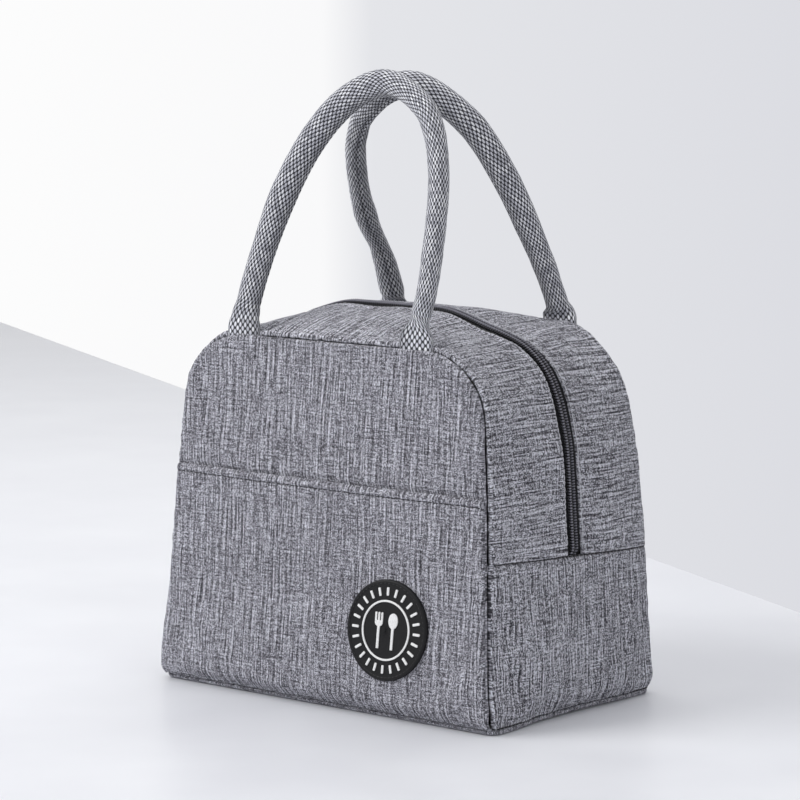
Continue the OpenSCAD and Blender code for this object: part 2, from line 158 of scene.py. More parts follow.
def dome(p):
    """Sets the bag as it sits, not quite even. Everything sewn to the cloth moves with it."""
    x, y, z = p[..., 0], p[..., 1], p[..., 2]
    aside = np.abs(x)
    s = np.clip(y / DOME_HALF, -1, 1)
    # the handles lift the middle of the top, and the back a little with it
    high = DOME * (1 - smooth((np.abs(x + 5) - 28) / 50)) * np.clip(1 - s * s, 0, 1) ** 0.85
    behind = BACK_LIFT * smooth((s + 0.2) / 1.2) * (1 - smooth((aside - 62) / 36))
    share = smooth((z - 138) / 50) * (1 - smooth((z - 200) / 50))
    # the stuffing pushes the corners out most beside the front
    ends = smooth((aside - 52) / 40) * (1 - smooth((z - 188) / 30))
    beside = 0.3 + np.where(s < 0, 0.7 * smooth((-s - 0.2) / 0.6), 0.25 * smooth((s - 0.2) / 0.6))
    wider = (WIDER * smooth((z - 15) / 115) - 0.9 * smooth((z - 165) / 23)) * ends * beside
    inward = 0.35 * ends * beside * smooth((z - 60) / 80)
    # it sits a little askew: the near left corner out at the foot, the far right one out below the zip's curve
    askew = 2.2 * smooth((-x - 70) / 35) * smooth(-s / 0.8) * smooth((62 - z) / 45)
    far = smooth((x - 66) / 38) * smooth(s / 0.8) * (1 - smooth((z - 118) / 50))
    far = far * (2.0 + 1.4 * smooth((z - 30) / 50))
    # the near right corner of the base stands out, and each side of the base arches off the table
    near = smooth((x - 78) / 26) * smooth((-s - 0.35) / 0.6)
    near = near * (1.1 * smooth((26 - z) / 24) + 1.7 * smooth((7 - z) / 5))
    arch = 0.5 * smooth((aside - 80) / 18) * np.clip(1 - (s * 1.25) ** 2, 0, 1) * (1 - smooth(z / 30))
    dx = np.sign(x) * wider - inward + far + near - askew
    return p + points(dx, 0.0, (high + behind) * share + arch)


# ---------------------------------------------------------------- meshes


def add_object(name, data):
    o = bpy.data.objects.new(name, data)
    bpy.context.collection.objects.link(o)
    return o


def make_mesh(name, verts, faces, uv=None, material=None, flat=False, soft=True):
    """An object from points in millimetres. uv is one pair a vertex, also in millimetres."""
    me = bpy.data.meshes.new(name)
    verts = np.asarray(verts, float)
    me.from_pydata((dome(verts) if soft else verts) * 0.001, [], faces)
    me.polygons.foreach_set("use_smooth", np.full(len(me.polygons), not flat))
    if uv is not None:
        layer = me.uv_layers.new(name="cloth")
        corner = np.empty(len(me.loops), np.int32)
        me.loops.foreach_get("vertex_index", corner)
        layer.data.foreach_set("uv", np.asarray(uv, np.float32)[corner].ravel())
    me.validate()
    me.update()
    o = add_object(name, me)
    if material:
        me.materials.append(material)
    return o


def grid_quads(rows, cols, closed=False):
    r, c = np.meshgrid(np.arange(rows - 1), np.arange(cols if closed else cols - 1), indexing="ij")
    n = (c + 1) % cols
    return points(r * cols + c, r * cols + n, (r + 1) * cols + n, (r + 1) * cols + c).reshape(-1, 4)


def fan(centre, start, n, flip=False):
    """Triangles between a middle point and a ring of n points."""
    ring = [(start + k, start + (k + 1) % n) for k in range(n)]
    return [(centre, *(pair[::-1] if flip else pair)) for pair in ring]


def grid_normals(p):
    n = np.cross(np.gradient(p, axis=1), np.gradient(p, axis=0))
    return n / np.maximum(np.linalg.norm(n, axis=-1, keepdims=True), 1e-9)


def sheet_mesh(name, p, uv, material, thickness=CLOTH_T, flip=False):
    """A closed sheet from a grid of points on its outer face. Rows up and columns right face the viewer."""
    if flip:
        p, uv = p[:, ::-1], uv[:, ::-1]
    rows, cols = p.shape[:2]
    inner = p - grid_normals(p) * thickness
    outer_faces = grid_quads(rows, cols)
    n = rows * cols
    inner_faces = outer_faces[:, ::-1] + n
    border = np.concatenate([np.arange(cols - 1), np.arange(rows - 1) * cols + cols - 1,
                             (rows - 1) * cols + np.arange(cols - 1, 0, -1), np.arange(rows - 1, 0, -1) * cols])
    after = np.roll(border, -1)
    rim = points(after, border, border + n, after + n)
    return make_mesh(name, np.concatenate([p.reshape(-1, 3), inner.reshape(-1, 3)]),
                     np.concatenate([outer_faces, inner_faces, rim]), np.concatenate([uv.reshape(-1, 2)] * 2), material)


def half_sheet(name, p, uv, material, thickness, back):
    """A sheet of the front half, or the same mirrored for the back one."""
    return sheet_mesh(name, mirrored(p) if back else p, uv, material, thickness, flip=back)


def mirrored(p):
    return p * np.array([1, -1, 1])


def lengths(path):
    """Length along a path up to each of its points."""
    return np.concatenate([[0], np.cumsum(np.linalg.norm(np.diff(path, axis=0), axis=1))])


def tube_grid(path, frame_a, frame_b, ring):
    """Rings of points round a path. ring is (rows, sides, 2), along frame_a and frame_b."""
    return path[:, None] + ring[..., :1] * frame_a[:, None] + ring[..., 1:] * frame_b[:, None]


def capped_tube(p):
    """Points and faces of a closed tube from a grid of rings."""
    rows, sides = p.shape[:2]
    faces = [tuple(f) for f in grid_quads(rows, sides, True)]
    faces.append(tuple(range(sides))[::-1])
    faces.append(tuple((rows - 1) * sides + k for k in range(sides)))
    return p.reshape(-1, 3), faces


def many(verts, faces, frames):
    """Copies of one small mesh: frames is (n, 4, 3), the origin and the three axes of each."""
    all_v = frames[:, None, 0] + np.einsum("vk,nkc->nvc", verts, frames[:, 1:])
    n = len(verts)
    all_f = [tuple(i + k * n for i in f) for k in range(len(frames)) for f in faces]
    return all_v.reshape(-1, 3), all_f


def bead(path, radius, sides=6):
    """A small closed tube along a short path of (x, y, z) points, tapered at its ends."""
    path = np.asarray(path, float)
    t = np.gradient(path, axis=0)
    t /= np.linalg.norm(t, axis=1, keepdims=True)
    side = np.cross(t, [0.0, 0.31, 0.95] if abs(t[0][2]) < 0.9 else [0.0, 1.0, 0.0])
    side /= np.linalg.norm(side, axis=1, keepdims=True)
    other = np.cross(t, side)
    size = np.full(len(path), radius)
    size[[0, -1]] *= 0.45
    a = np.arange(sides) * 2 * PI / sides
    ring = points(np.outer(size, np.cos(a)), np.outer(size, np.sin(a)))
    return capped_tube(tube_grid(path, side, other, ring))


def join_parts(parts):
    """One (points, faces) from several."""
    verts, faces, start = [], [], 0
    for v, f in parts:
        verts.append(np.asarray(v, float))
        faces += [tuple(i + start for i in q) for q in f]
        start += len(v)
    return np.concatenate(verts), faces


def stitches(name, path, normal, pitch, length, radius, material, sink=0.18):
    """A row of thread stitches along a path, each a small arch that dips into the cloth at both ends."""
    s, normal = lengths(path), np.broadcast_to(normal, path.shape)
    where = np.arange(pitch * 0.6, s[-1] - pitch * 0.5, pitch)

    def at(q, data):
        return np.stack([np.interp(q, s, data[:, k]) for k in range(3)], -1)

    o, a, b, n = at(where, path), at(where - length / 2, path), at(where + length / 2, path), at(where, normal)
    t = (b - a) / np.linalg.norm(b - a, axis=1, keepdims=True)
    n = n / np.linalg.norm(n, axis=1, keepdims=True)
    side = np.cross(n, t)
    h = length / 2
    shape = bead([(-h, 0, -sink - radius), (-h * 0.8, 0, radius * 0.2), (0, 0, radius * 0.55),
                  (h * 0.8, 0, radius * 0.2), (h, 0, -sink - radius)], radius)
    v, f = many(*shape, np.stack([o, t, side, n], 1))
    return make_mesh(name, v, f, np.zeros((len(v), 2)), material)


# ---------------------------------------------------------------- materials
WARP_FINE, WARP_FLECK, WARP_BROAD, WEFT_FINE, WEFT_FLECK, SPECK = 1.9, 2.6, 1.6, 1.7, 1.9, 0.95


class Nodes:
    """Short names for building a material's nodes."""

    def __init__(self, name, **values):
        self.mat = bpy.data.materials.new(name)
        self.mat.use_nodes = True
        self.tree = self.mat.node_tree
        self.shader = self.tree.nodes["Principled BSDF"]
        for key, value in values.items():
            self.shader.inputs[key.replace("_", " ")].default_value = value
        self.mat.diffuse_color = (*values.get("Base_Color", (0.5, 0.5, 0.5))[:3], 1)

    def node(self, kind, *links, **settings):
        n = self.tree.nodes.new("ShaderNode" + kind)
        for key, value in settings.items():
            if hasattr(n, key):
                setattr(n, key, value)
            else:
                n.inputs[key.replace("_", " ")].default_value = value
        for k, link in enumerate(links):
            if link is not None:
                self.put(link, n.inputs[k])
        return n

    def put(self, value, socket):
        if isinstance(value, bpy.types.NodeSocket):
            self.tree.links.new(value, socket)
        else:
            socket.default_value = value

    def math(self, op, a, b=0.0, c=0.0):
        return self.node("Math", a, b, c, operation=op).outputs[0]

    def add(self, a, b):
        return self.math("ADD", a, b)

    def mul(self, a, b):
        return self.math("MULTIPLY", a, b)

    def centred(self, value):
        return self.math("SUBTRACT", value, 0.5)

    def crowns(self, value, pitch):
        """The round backs of threads that lie side by side at that pitch."""
        return self.math("ABSOLUTE", self.math("SINE", self.mul(value, PI / pitch)))

    def place(self):
        return self.node("TexCoord").outputs["Object"]

    def uv(self):
        n = self.node("UVMap", uv_map="cloth")
        s = self.node("SeparateXYZ", n.outputs[0])
        return s.outputs[0], s.outputs[1]

    def xyz(self, x, y, z=0.0):
        return self.node("CombineXYZ", x, y, z).outputs[0]

    def noise(self, vector, scale=1.0, detail=0.0, roughness=0.5):
        return self.node("TexNoise", vector, Scale=scale, Detail=detail, Roughness=roughness).outputs[0]

    def ramp(self, value, *stops):
        """Each stop is its position, its colour in sRGB from 0 to 255, and perhaps a factor on that colour's light."""
        n = self.node("ValToRGB", value)
        e = n.color_ramp.elements
        while len(e) < len(stops):
            e.new(0.5)
        for k, (at, *colour) in enumerate(stops):
            e[k].position = at
            e[k].color = (*(c * math.prod(colour[3:]) for c in linear(*colour[:3])), 1)
        return n.outputs[0]

    def range(self, value, a, b, c=0.0, d=1.0, smoothstep=False):
        n = self.node("MapRange", value, a, b, c, d, interpolation_type="SMOOTHSTEP" if smoothstep else "LINEAR")
        return n.outputs[0]

    def blend(self, t, a, b):
        n = self.node("Mix", data_type="RGBA")
        self.put(t, n.inputs[0])
        for k, value in ((6, a), (7, b)):
            self.put((*value, 1) if isinstance(value, tuple) else value, n.inputs[k])
        return n.outputs[2]

    def set(self, key, value):
        self.put(value, self.shader.inputs[key])

    def bump(self, height, strength, distance):
        n = self.node("Bump", Strength=strength, Distance=distance)
        self.put(height, n.inputs["Height"])
        self.set("Normal", n.outputs[0])


def linear(*srgb):
    return tuple(((c / 255 + 0.055) / 1.055) ** 2.4 if c > 10 else c / 255 / 12.92 for c in srgb)


THREAD = 0.5  # pitch of the outer cloth's threads
FLECK, BROAD_FLECK = 0.8, 1.25  # widths of the groups of threads that share a shade
CELL_GAP = 17.37  # steps between neighbouring cells in the noise, so that they share nothing


def heather_cloth(name, contrast, mean):
    """Plain-woven grey heather. u runs across the warp and v along it: long flecks along v, shorter ones along u."""
    m = Nodes(name, Roughness=0.92, Sheen_Weight=0.04, Sheen_Roughness=0.5, Specular_IOR_Level=0.12)
    u, v = m.uv()

    def wander(value, amount, x, y, seed=0.0):
        return m.add(value, m.mul(m.noise(m.xyz(x, y, seed), 1.0, 1.0), amount))

    def cells(a, width, b, length, seed):
        """Shades that keep one value across a cell of that width and drift along its length."""
        k = m.math("FLOOR", m.mul(a, 1 / width))
        return m.centred(m.noise(m.xyz(m.mul(k, CELL_GAP), m.mul(b, 1 / length), seed), 1.0, 1.0, 0.35))

    def pairs(a, width, b, length, seed):
        """As cells, but each pale yarn lies beside an equally dark one, so the cloth stays even from afar."""
        odd = m.math("FLOORED_MODULO", m.math("FLOOR", m.mul(a, 1 / width)), 2.0)
        return m.mul(cells(a, 2 * width, b, length, seed), m.math("SUBTRACT", m.mul(odd, 2.0), 1.0))

    def total(*terms):
        out = None
        for value, amount in terms:
            part = m.mul(value, amount)
            out = part if out is None else m.add(out, part)
        return out

    slow_u, slow_v = m.mul(u, 0.02), m.mul(v, 0.02)
    u2, v2 = wander(u, 1.8, slow_u, slow_v), wander(v, 1.8, slow_u, slow_v, 5.0)
    # the widths of the flecks vary, so they are counted on a stretched scale
    su, sv = wander(u2, 1.6, m.mul(u2, 0.6), 0.0), wander(v2, 1.6, m.mul(v2, 0.6), 9.0)
    patch = m.centred(m.noise(m.xyz(m.mul(u, 1 / 30), m.mul(v, 1 / 30)), 1.0, 2.0))
    warp = total((cells(u2, THREAD, v, 14.0, 1.0), WARP_FINE), (pairs(su, FLECK, v, 22.0, 2.0), WARP_FLECK),
                 (pairs(su, BROAD_FLECK, v, 40.0, 3.0), WARP_BROAD), (patch, 0.2))
    weft = total((cells(v2, THREAD, u, 5.0, 4.0), WEFT_FINE), (pairs(sv, FLECK, u, 12.0, 5.0), WEFT_FLECK),
                 (patch, 0.2))
    iu, iv = m.math("FLOOR", m.mul(u2, 1 / THREAD)), m.math("FLOOR", m.mul(v2, 1 / THREAD))
    parity = m.math("MODULO", m.math("ABSOLUTE", m.add(iu, iv)), 2.0)
    over = m.add(0.35, m.mul(parity, 0.45))
    speck = m.centred(m.node("TexWhiteNoise", m.xyz(iu, iv, 0.5)).outputs[0])
    yarns = total((warp, over), (weft, m.math("SUBTRACT", 1.0, over)), (speck, SPECK))
    shade = m.add(m.mul(yarns, contrast), mean)
    crown_u, crown_v = m.crowns(u2, THREAD), m.crowns(v2, THREAD)
    # painted shade: the colour darkens to a dark grey in the gaps between the threads, where shadow would fall
    painted_gap_shade = m.math("MINIMUM", crown_u, crown_v)
    colour = m.ramp(shade, (0.0, 56, 55, 60), (0.25, 92, 91, 97), (0.5, 137, 136, 144), (0.75, 184, 184, 193),
                    (1.0, 226, 227, 236))
    m.set("Base Color", m.blend(m.range(painted_gap_shade, 0.0, 0.4, 0.45, 1.0), linear(58, 57, 62), colour))
    height = m.add(m.add(m.mul(crown_u, over), m.mul(crown_v, 0.6)), m.mul(shade, 0.5))
    m.bump(height, 0.5, 0.0002)
    return m.mat


def plain_cloth(name, colour, pitch=0.45):
    """A fine plain-woven tape."""
    m = Nodes(name, Roughness=0.85, Sheen_Weight=0.2, Sheen_Roughness=0.5, Specular_IOR_Level=0.3)
    u, v = m.uv()
    n = m.noise(m.xyz(m.mul(u, 2.0), m.mul(v, 2.0)), 1.0, 2.0)
    # painted shade: the colour is darker between the threads' round backs and brighter on them; the noise is the yarn's
    # own tone, and the same value also gives the bump
    shade = m.add(m.mul(m.mul(m.crowns(u, pitch), m.crowns(v, pitch * 1.6)), 0.6), m.mul(n, 0.5))
    m.set("Base Color", m.ramp(shade, (0.1, *colour, 0.5), (1.0, *colour, 1.9)))
    m.bump(shade, 0.5, 0.0002)
    return m.mat


DOT_AROUND, DOT_ALONG = 20, 3.8  # flecks round the handle, and the length that each takes up along it


def webbing_cloth(name):
    """Tubular webbing: rows of pale flecks, each row half a fleck on from the last, on dark yarn."""
    m = Nodes(name, Roughness=0.8, Sheen_Weight=0.2, Sheen_Roughness=0.5, Specular_IOR_Level=0.35)
    u, v = m.uv()  # counts of flecks round the handle and along it

    def lattice(shift):
        """Distance from the nearest fleck's middle, as a share of its size, and a random value for each fleck."""
        su, sv = m.add(u, shift), m.add(v, shift)
        du = m.mul(m.centred(m.math("FRACT", su)), 1 / 0.275)
        dv = m.mul(m.centred(m.math("FRACT", sv)), 1 / 0.37)
        far = m.math("SQRT", m.add(m.mul(du, du), m.mul(dv, dv)))
        speck = m.node("TexWhiteNoise", m.xyz(m.math("FLOOR", su), m.math("FLOOR", sv), shift * 9)).outputs[0]
        return far, speck

    (far_a, speck_a), (far_b, speck_b) = lattice(0.0), lattice(0.5)
    far = m.math("MINIMUM", far_a, far_b)
    first = m.math("LESS_THAN", far_a, far_b)
    jitter = m.add(m.mul(speck_a, first), m.mul(speck_b, m.math("SUBTRACT", 1.0, first)))
    dot = m.range(far, 0.62, 1.1, 1.0, 0.0, True)
    strand = m.crowns(u, 0.2)  # five strands to a fleck
    long_noise = m.noise(m.xyz(m.mul(u, 0.8), m.mul(v, 0.06)), 1.0, 2.0)
    yarn = m.noise(m.xyz(m.mul(u, 9.0), m.mul(v, 2.2)), 1.0, 2.0)
    # painted shade: the pale flecks are a little darker between their strands
    pale = m.ramp(m.add(m.mul(jitter, 0.8), m.mul(strand, 0.2)),
                  (0.05, 166, 167, 175), (0.5, 212, 213, 222), (0.95, 248, 249, 253))
    base = m.ramp(m.add(m.mul(yarn, 0.7), m.mul(long_noise, 0.4)),
                  (0.2, 20, 20, 24), (0.55, 39, 39, 46), (0.95, 68, 69, 78))
    # painted shade: the side within the arch is darkened in colour, as if less light reached it there
    inner = m.range(m.math("COSINE", m.mul(u, 2 * PI / DOT_AROUND)), 0.1, 0.9, 1.0, 0.62, True)
    woven = m.node("VectorMath", m.blend(dot, base, pale), m.xyz(inner, inner, inner), operation="MULTIPLY").outputs[0]
    m.set("Base Color", woven)
    m.bump(m.add(m.mul(dot, 0.6), m.mul(strand, 0.25)), 0.6, 0.0003)
    return m.mat


def foil(name):
    m = Nodes(name, Metallic=0.85, Roughness=0.34, Base_Color=(*linear(206, 208, 212), 1))
    u, v = m.uv()
    p = m.xyz(u, v)
    crinkle = m.node("TexVoronoi", p, Scale=0.09, feature="DISTANCE_TO_EDGE").outputs[0]
    fine = m.noise(p, 0.22, 5.0, 0.6)
    emboss = m.mul(m.math("SINE", m.mul(u, 2.4)), m.math("SINE", m.mul(v, 2.4)))
    m.bump(m.add(m.add(m.mul(crinkle, 0.6), fine), m.mul(emboss, 0.05)), 0.6, 0.0016)
    m.set("Roughness", m.range(fine, 0.3, 0.7, 0.26, 0.44))
    m.set("Base Color", m.ramp(fine, (0.3, 188, 190, 195), (0.7, 222, 224, 228)))
    return m.mat


def foam(name):
    m = Nodes(name, Roughness=0.9, Specular_IOR_Level=0.2)
    cells = m.node("TexVoronoi", m.place(), Scale=700.0).outputs[0]
    m.set("Base Color", m.ramp(cells, (0.0, 238, 238, 232), (0.8, 214, 214, 206)))
    m.bump(cells, 0.5, 0.0004)
    return m.mat


def rubber(name):
    m = Nodes(name, Roughness=0.55, Specular_IOR_Level=0.3)
    p = m.place()
    grain, cloud = m.noise(p, 1600.0, 3.0, 0.6), m.noise(p, 90.0, 2.0)
    m.set("Base Color", m.ramp(m.add(m.mul(grain, 0.6), m.mul(cloud, 0.4)), (0.3, 5, 5, 7), (0.8, 19, 19, 23)))
    m.bump(grain, 0.35, 0.00012)
    m.set("Roughness", m.range(cloud, 0.3, 0.7, 0.48, 0.64))
    return m.mat


def grained(name, noise, stops, bump, gloss=None, **values):
    """A material whose colour, bump and, with gloss, roughness follow one fine grain."""
    m = Nodes(name, **values)
    grain = m.noise(m.place(), *noise)
    m.set("Base Color", m.ramp(grain, *stops))
    if gloss:
        m.set("Roughness", m.range(grain, *gloss))
    m.bump(grain, *bump)
    return m.mat


def thread(name, *colour):
    return grained(name, (2600.0, 2.0), [(0.3, *colour, 0.7), (0.7, *colour, 1.25)], (0.4, 0.0001),
                   Roughness=0.7, Sheen_Weight=0.2, Specular_IOR_Level=0.3)


CLOTH, CLOTH_ACROSS = heather_cloth("heather cloth", 0.73, 0.51), heather_cloth("heather cloth across", 1.11, 0.54)
WEBBING, LINING, FOAM = webbing_cloth("webbing"), foil("foil lining"), foam("foam")
TAPE, BINDING = plain_cloth("zip tape", (24, 24, 28)), plain_cloth("binding", (34, 34, 38), 0.6)
COIL = grained("coil", (900.0, 2.0), [(0.3, 30, 30, 35), (0.75, 56, 56, 63)], (0.25, 0.0001),
               Roughness=0.38, Specular_IOR_Level=0.5)
METAL = grained("gunmetal", (260.0, 4.0, 0.65), [(0.35, 74, 74, 80), (0.62, 98, 98, 104), (0.8, 140, 140, 146)],
                (0.2, 0.0001), gloss=(0.3, 0.8, 0.42, 0.24), Metallic=1.0, Roughness=0.32)
RUBBER = rubber("badge rubber")
WHITE = grained("badge white", (1500.0, 3.0, 0.6), [(0.3, 222, 222, 221), (0.7, 246, 246, 246)], (0.3, 0.0001),
                Roughness=0.5, Specular_IOR_Level=0.4)
# the dark thread on the base and side seams also stands in for those seams' shadow lines
DARK_THREAD, GREY_THREAD = thread("dark thread", 38, 38, 42), thread("grey thread", 196, 196, 203)
ZIP_THREAD = thread("zip thread", 132, 131, 142)
COTTON = grained("cotton", (700.0, 5.0, 0.7), [(0.3, 196, 192, 182), (0.75, 232, 229, 220)], (0.6, 0.0005),
                 Roughness=0.95, Sheen_Weight=0.3)


# ---------------------------------------------------------------- cloth simulation


class Field:
    """A displacement on an even grid of the unit square, read anywhere with cubic interpolation."""

    def __init__(self, values):
        self.values = values

    def at(self, r, c):
        """r and c run from 0 to 1 along the rows and columns."""
        d = self.values
        rows, cols = d.shape[:2]

        def taps(q, n):
            q = np.clip(q, 0, 1) * (n - 1)
            k = np.minimum(np.floor(q).astype(int), n - 2)
            t = q - k
            w = [-0.5 * t + t**2 - 0.5 * t**3, 1 - 2.5 * t**2 + 1.5 * t**3,
                 0.5 * t + 2 * t**2 - 1.5 * t**3, -0.5 * t**2 + 0.5 * t**3]
            return [np.clip(k + j, 0, n - 1) for j in (-1, 0, 1, 2)], w

        kr, wr = taps(r, rows)
        kc, wc = taps(c, cols)
        return sum((wr[i] * wc[j])[..., None] * d[kr[i], kc[j]] for i in range(4) for j in range(4))


SINK_SHARE = 0.35  # the cloth may sink by this share of what it may rise


def simulate(jobs, frames=22):
    """Each job is a dict: points (rows, cols, 3) of a coarse grid, slack, pressure, cap. Its border is sewn down.
    Returns the displacement along the grid's normals, as one Field a job."""
    scene = bpy.context.scene
    made = []
    for k, job in enumerate(jobs):
        p = job["points"]
        rows, cols = p.shape[:2]
        o = make_mesh(f"sim{k}", p.reshape(-1, 3), grid_quads(rows, cols))
        group = o.vertex_groups.new(name="sewn")
        edge = np.zeros((rows, cols), bool)
        edge[[0, -1]] = True
        edge[:, [0, -1]] = True
        group.add([int(i) for i in np.flatnonzero(edge.ravel())], 1.0, "REPLACE")
        cloth = o.modifiers.new("cloth", "CLOTH")
        s = cloth.settings
        s.quality = 6
        s.mass = 0.25
        s.tension_stiffness = s.compression_stiffness = 18
        s.shear_stiffness = 9
        s.bending_stiffness = 0.6
        s.air_damping = 4
        s.vertex_group_mass = "sewn"
        s.shrink_min = -job["slack"]
        s.use_pressure = True
        s.uniform_pressure_force = job["pressure"]
        s.effector_weights.gravity = 0.3
        cloth.collision_settings.use_collision = False
        cloth.point_cache.frame_start, cloth.point_cache.frame_end = 1, frames
        made.append(o)
    for f in range(1, frames + 1):
        scene.frame_set(f)
    fields = []
    graph = bpy.context.evaluated_depsgraph_get()
    for o, job in zip(made, jobs):
        p = job["points"]
        me = o.evaluated_get(graph).to_mesh()
        q = np.empty(len(me.vertices) * 3, np.float32)
        me.vertices.foreach_get("co", q)
        moved = q.reshape(p.shape) * 1000.0 - dome(p)
        out = (moved * grid_normals(p)).sum(-1)
        cap = np.where(out > 0, 1.0, SINK_SHARE) * job["cap"]
        fields.append(Field((cap * np.tanh(out / cap))[..., None]))
    for o in made:
        bpy.data.objects.remove(o, do_unlink=True)
    scene.frame_set(1)
    return fields


# ---------------------------------------------------------------- front and back walls


def even_steps(length, steps=SEAM_STEPS, step=STEP):
    """Distances along a length: fine steps at both ends, and even steps between."""
    last = steps[-1]
    n = max(2, int(round((length - 2 * last) / step)))
    inner = np.linspace(last, length - last, n + 1)
    return np.concatenate([steps[:-1], inner, length - steps[:-1][::-1]])


def columns(z, inner):
    """x of a front sheet's points at the heights z: fine steps beside the side seams, and inner's shares between."""
    half = (half_width(z, SEAM) - foot_roll(z))[:, None]
    edge = half - SEAM_STEPS[:-1]
    return np.concatenate([-edge, inner * (half - SEAM_STEPS[-1]), edge[:, ::-1]], 1)


def unit(x, z):
    """Where a point lies on the wall's simulated grid: its share of the height and of the width."""
    return (z - BAND_H) / (BODY_H - BAND_H), 0.5 + 0.5 * x / np.maximum(half_width(z, 0.0) - foot_roll(z), 1)


def sim_grid(z0, z1, rows, cols):
    """An even grid of unit coordinates on the front wall, as points."""
    z = np.linspace(z0, z1, rows)[:, None] + np.zeros((1, cols))
    s = np.linspace(-1, 1, cols)[None] + np.zeros((rows, 1))
    x = s * (half_width(z, 0.5) - foot_roll(z))
    return points(x, wall_y(z) + foot_roll(z) - panel_swell(s, z), z)


# lengths of the outline's side, corner and whole, from the left fold line over the top to the right one
SIDE_L = (CORNER_Z + CORNER_R * math.sin(SIDE_LEAN) - FOLD_Z) / math.cos(SIDE_LEAN)
ARC_L = CORNER_R * (PI / 2 - SIDE_LEAN)
LINE_L = 2 * SIDE_L + 2 * ARC_L + 2 * CORNER_X


def outline(t):
    """Points (x, z) and outward normals at lengths t along the inverted U, from the left fold line to the right."""
    t = np.asarray(t, float)
    right = t > LINE_L / 2
    q = np.where(right, LINE_L - t, t)  # measured from the nearer end
    on_side, on_arc = q < SIDE_L, (q >= SIDE_L) & (q < SIDE_L + ARC_L)
    a = SIDE_LEAN + np.clip((q - SIDE_L) / CORNER_R, 0, PI / 2 - SIDE_LEAN)
    z_side = FOLD_Z + q * math.cos(SIDE_LEAN)
    x = np.where(on_side, side_x(z_side), CORNER_X + CORNER_R * np.cos(a))
    x = np.where(on_side | on_arc, x, CORNER_X - (q - SIDE_L - ARC_L))
    z = np.where(on_side, z_side, CORNER_Z + CORNER_R * np.sin(a))
    nx, nz = np.cos(a), np.sin(a)
    sign = np.where(right, 1.0, -1.0)
    return points(x * sign, z), points(nx * sign, nz)


FALL, FALL_RUN = 3.2, 65.0


def side_fall(y):
    """The lower side panels' top seam falls a little towards the back."""
    return FALL * y / FALL_RUN


def side_top(y):
    return FOLD_Z - side_fall(y)


ZIP_EDGE = 5.7  # distance of the gusset's folded edge from the zip's middle


def strip_point(t, y, depth):
    """A point of the gusset: length along the outline, depth along Y (negative is in front), depth below its face."""
    o, n = outline(t)
    s = y / wall_y(o[..., 1])
    d = depth - side_crown(s, o[..., 1])
    return points(o[..., 0] - d * n[..., 0], y, o[..., 1] - d * n[..., 1])


def sim_strip(rows, cols):
    t = np.linspace(0, LINE_L, cols)[None] + np.zeros((rows, 1))
    o, _ = outline(t)
    v = np.linspace(0, 1, rows)[:, None]
    y = mix(wall_y(o[..., 1]) + 0.5, -ZIP_EDGE, v)
    return strip_point(t, y, 0.0)


def sim_side(rows, cols):
    """The right-hand lower side, front seam to back seam."""
    z = np.linspace(BAND_H + 0.5, FOLD_Z, rows)[:, None] + np.zeros((1, cols))
    s = np.linspace(1, -1, cols)[None] + np.zeros((rows, 1))
    return points(side_x(z) - foot_roll(z) + side_crown(s, z), (wall_y(z) + foot_roll(z)) * s, z)


wall_field, back_field, pocket_field, front_strip, back_strip, side_right, side_left = simulate([
    dict(points=sim_grid(BAND_H + 1, BODY_H - 0.5, 40, 46), slack=0.011, pressure=0.35, cap=1.3),
    dict(points=mirrored(sim_grid(BAND_H + 1, BODY_H - 0.5, 40, 45)[:, ::-1]), slack=0.012, pressure=0.35, cap=1.4),
    dict(points=sim_grid(BAND_H + 1, POCKET_H, 26, 46) - [0, 1.2, 0], slack=0.014, pressure=0.3, cap=1.3),
    dict(points=sim_strip(15, 84), slack=0.014, pressure=0.4, cap=1.5),
    dict(points=mirrored(sim_strip(15, 82)[:, ::-1]), slack=0.014, pressure=0.4, cap=1.5),
    dict(points=sim_side(19, 30), slack=0.013, pressure=0.4, cap=1.4),
    dict(points=(sim_side(19, 31) * [-1, 1, 1])[:, ::-1], slack=0.013, pressure=0.4, cap=1.4),
])


HELD = 7.0  # a seam holds the swell of the cloth down within this distance


def calm(d, reach):
    """1 away from a seam and 0 at it, for ripples that a seam holds down."""
    return smooth(d / reach)


def puckers(d, along, size, seed):
    """Gathers beside a seam, at a distance d from its corner."""
    return np.exp(-np.clip(d - SEAM, 0, None) / 6.0) * calm(d, 3.0) * waves(along, d * 0.3, size, seed)


def wall_depth(x, z, field, seed, back=False):
    """Depth of the front or back cloth behind the plane of its wall."""
    d = edge_distance(x, z)
    s = x / np.maximum(half_width(z, 0.0), 1)
    out = panel_swell(s, z)
    out = out + LOW_BULGE * np.clip(1 - s**4, 0, 1) * np.sin(PI * np.clip((z - BAND_H) / 52, 0, 1) ** 0.6)
    r, c = unit(x, z)
    out = out + field.at(r, 1 - c if back else c)[..., 0] * calm(d, HELD)
    # puckers where the seams gather the cloth, and a slow unevenness of the foam behind it
    along = np.where(z > CORNER_Z + 12, x, z)
    out = out + (0.22 + 0.2 * smooth((z - 160) / 12)) * puckers(d, along, 8.5, seed)
    out = out + 0.35 * calm(d, 12) * waves(x, z, 48.0, seed + 1)
    foot = np.exp(-np.clip(z - 6, 0, None) / 9.0)
    out = out + 0.3 * foot * calm(d, 6.0) * waves(x, z * 0.2, 13.0, seed + 2)
    behind_hem = 0.0 if back else 1.5 * np.exp(-(((z - POCKET_H - 0.3) / 1.25) ** 2)) * calm(d, 4.0)
    return roll(d) + foot_roll(z) + behind_hem - out


def foot_turn(p, uv, deep):
    """Adds the rows that turn under at the foot, into the seam round the base."""
    more = [p[:1] + np.array([0, 0, down]) + inward * deep
            for down, inward in ((0.15, 2.4), (-0.2, 1.5), (-0.32, 0.85), (-0.22, 0.3))]
    return np.concatenate(more + [p]), np.concatenate([uv[:1] - [0, 1.0]] * len(more) + [uv])


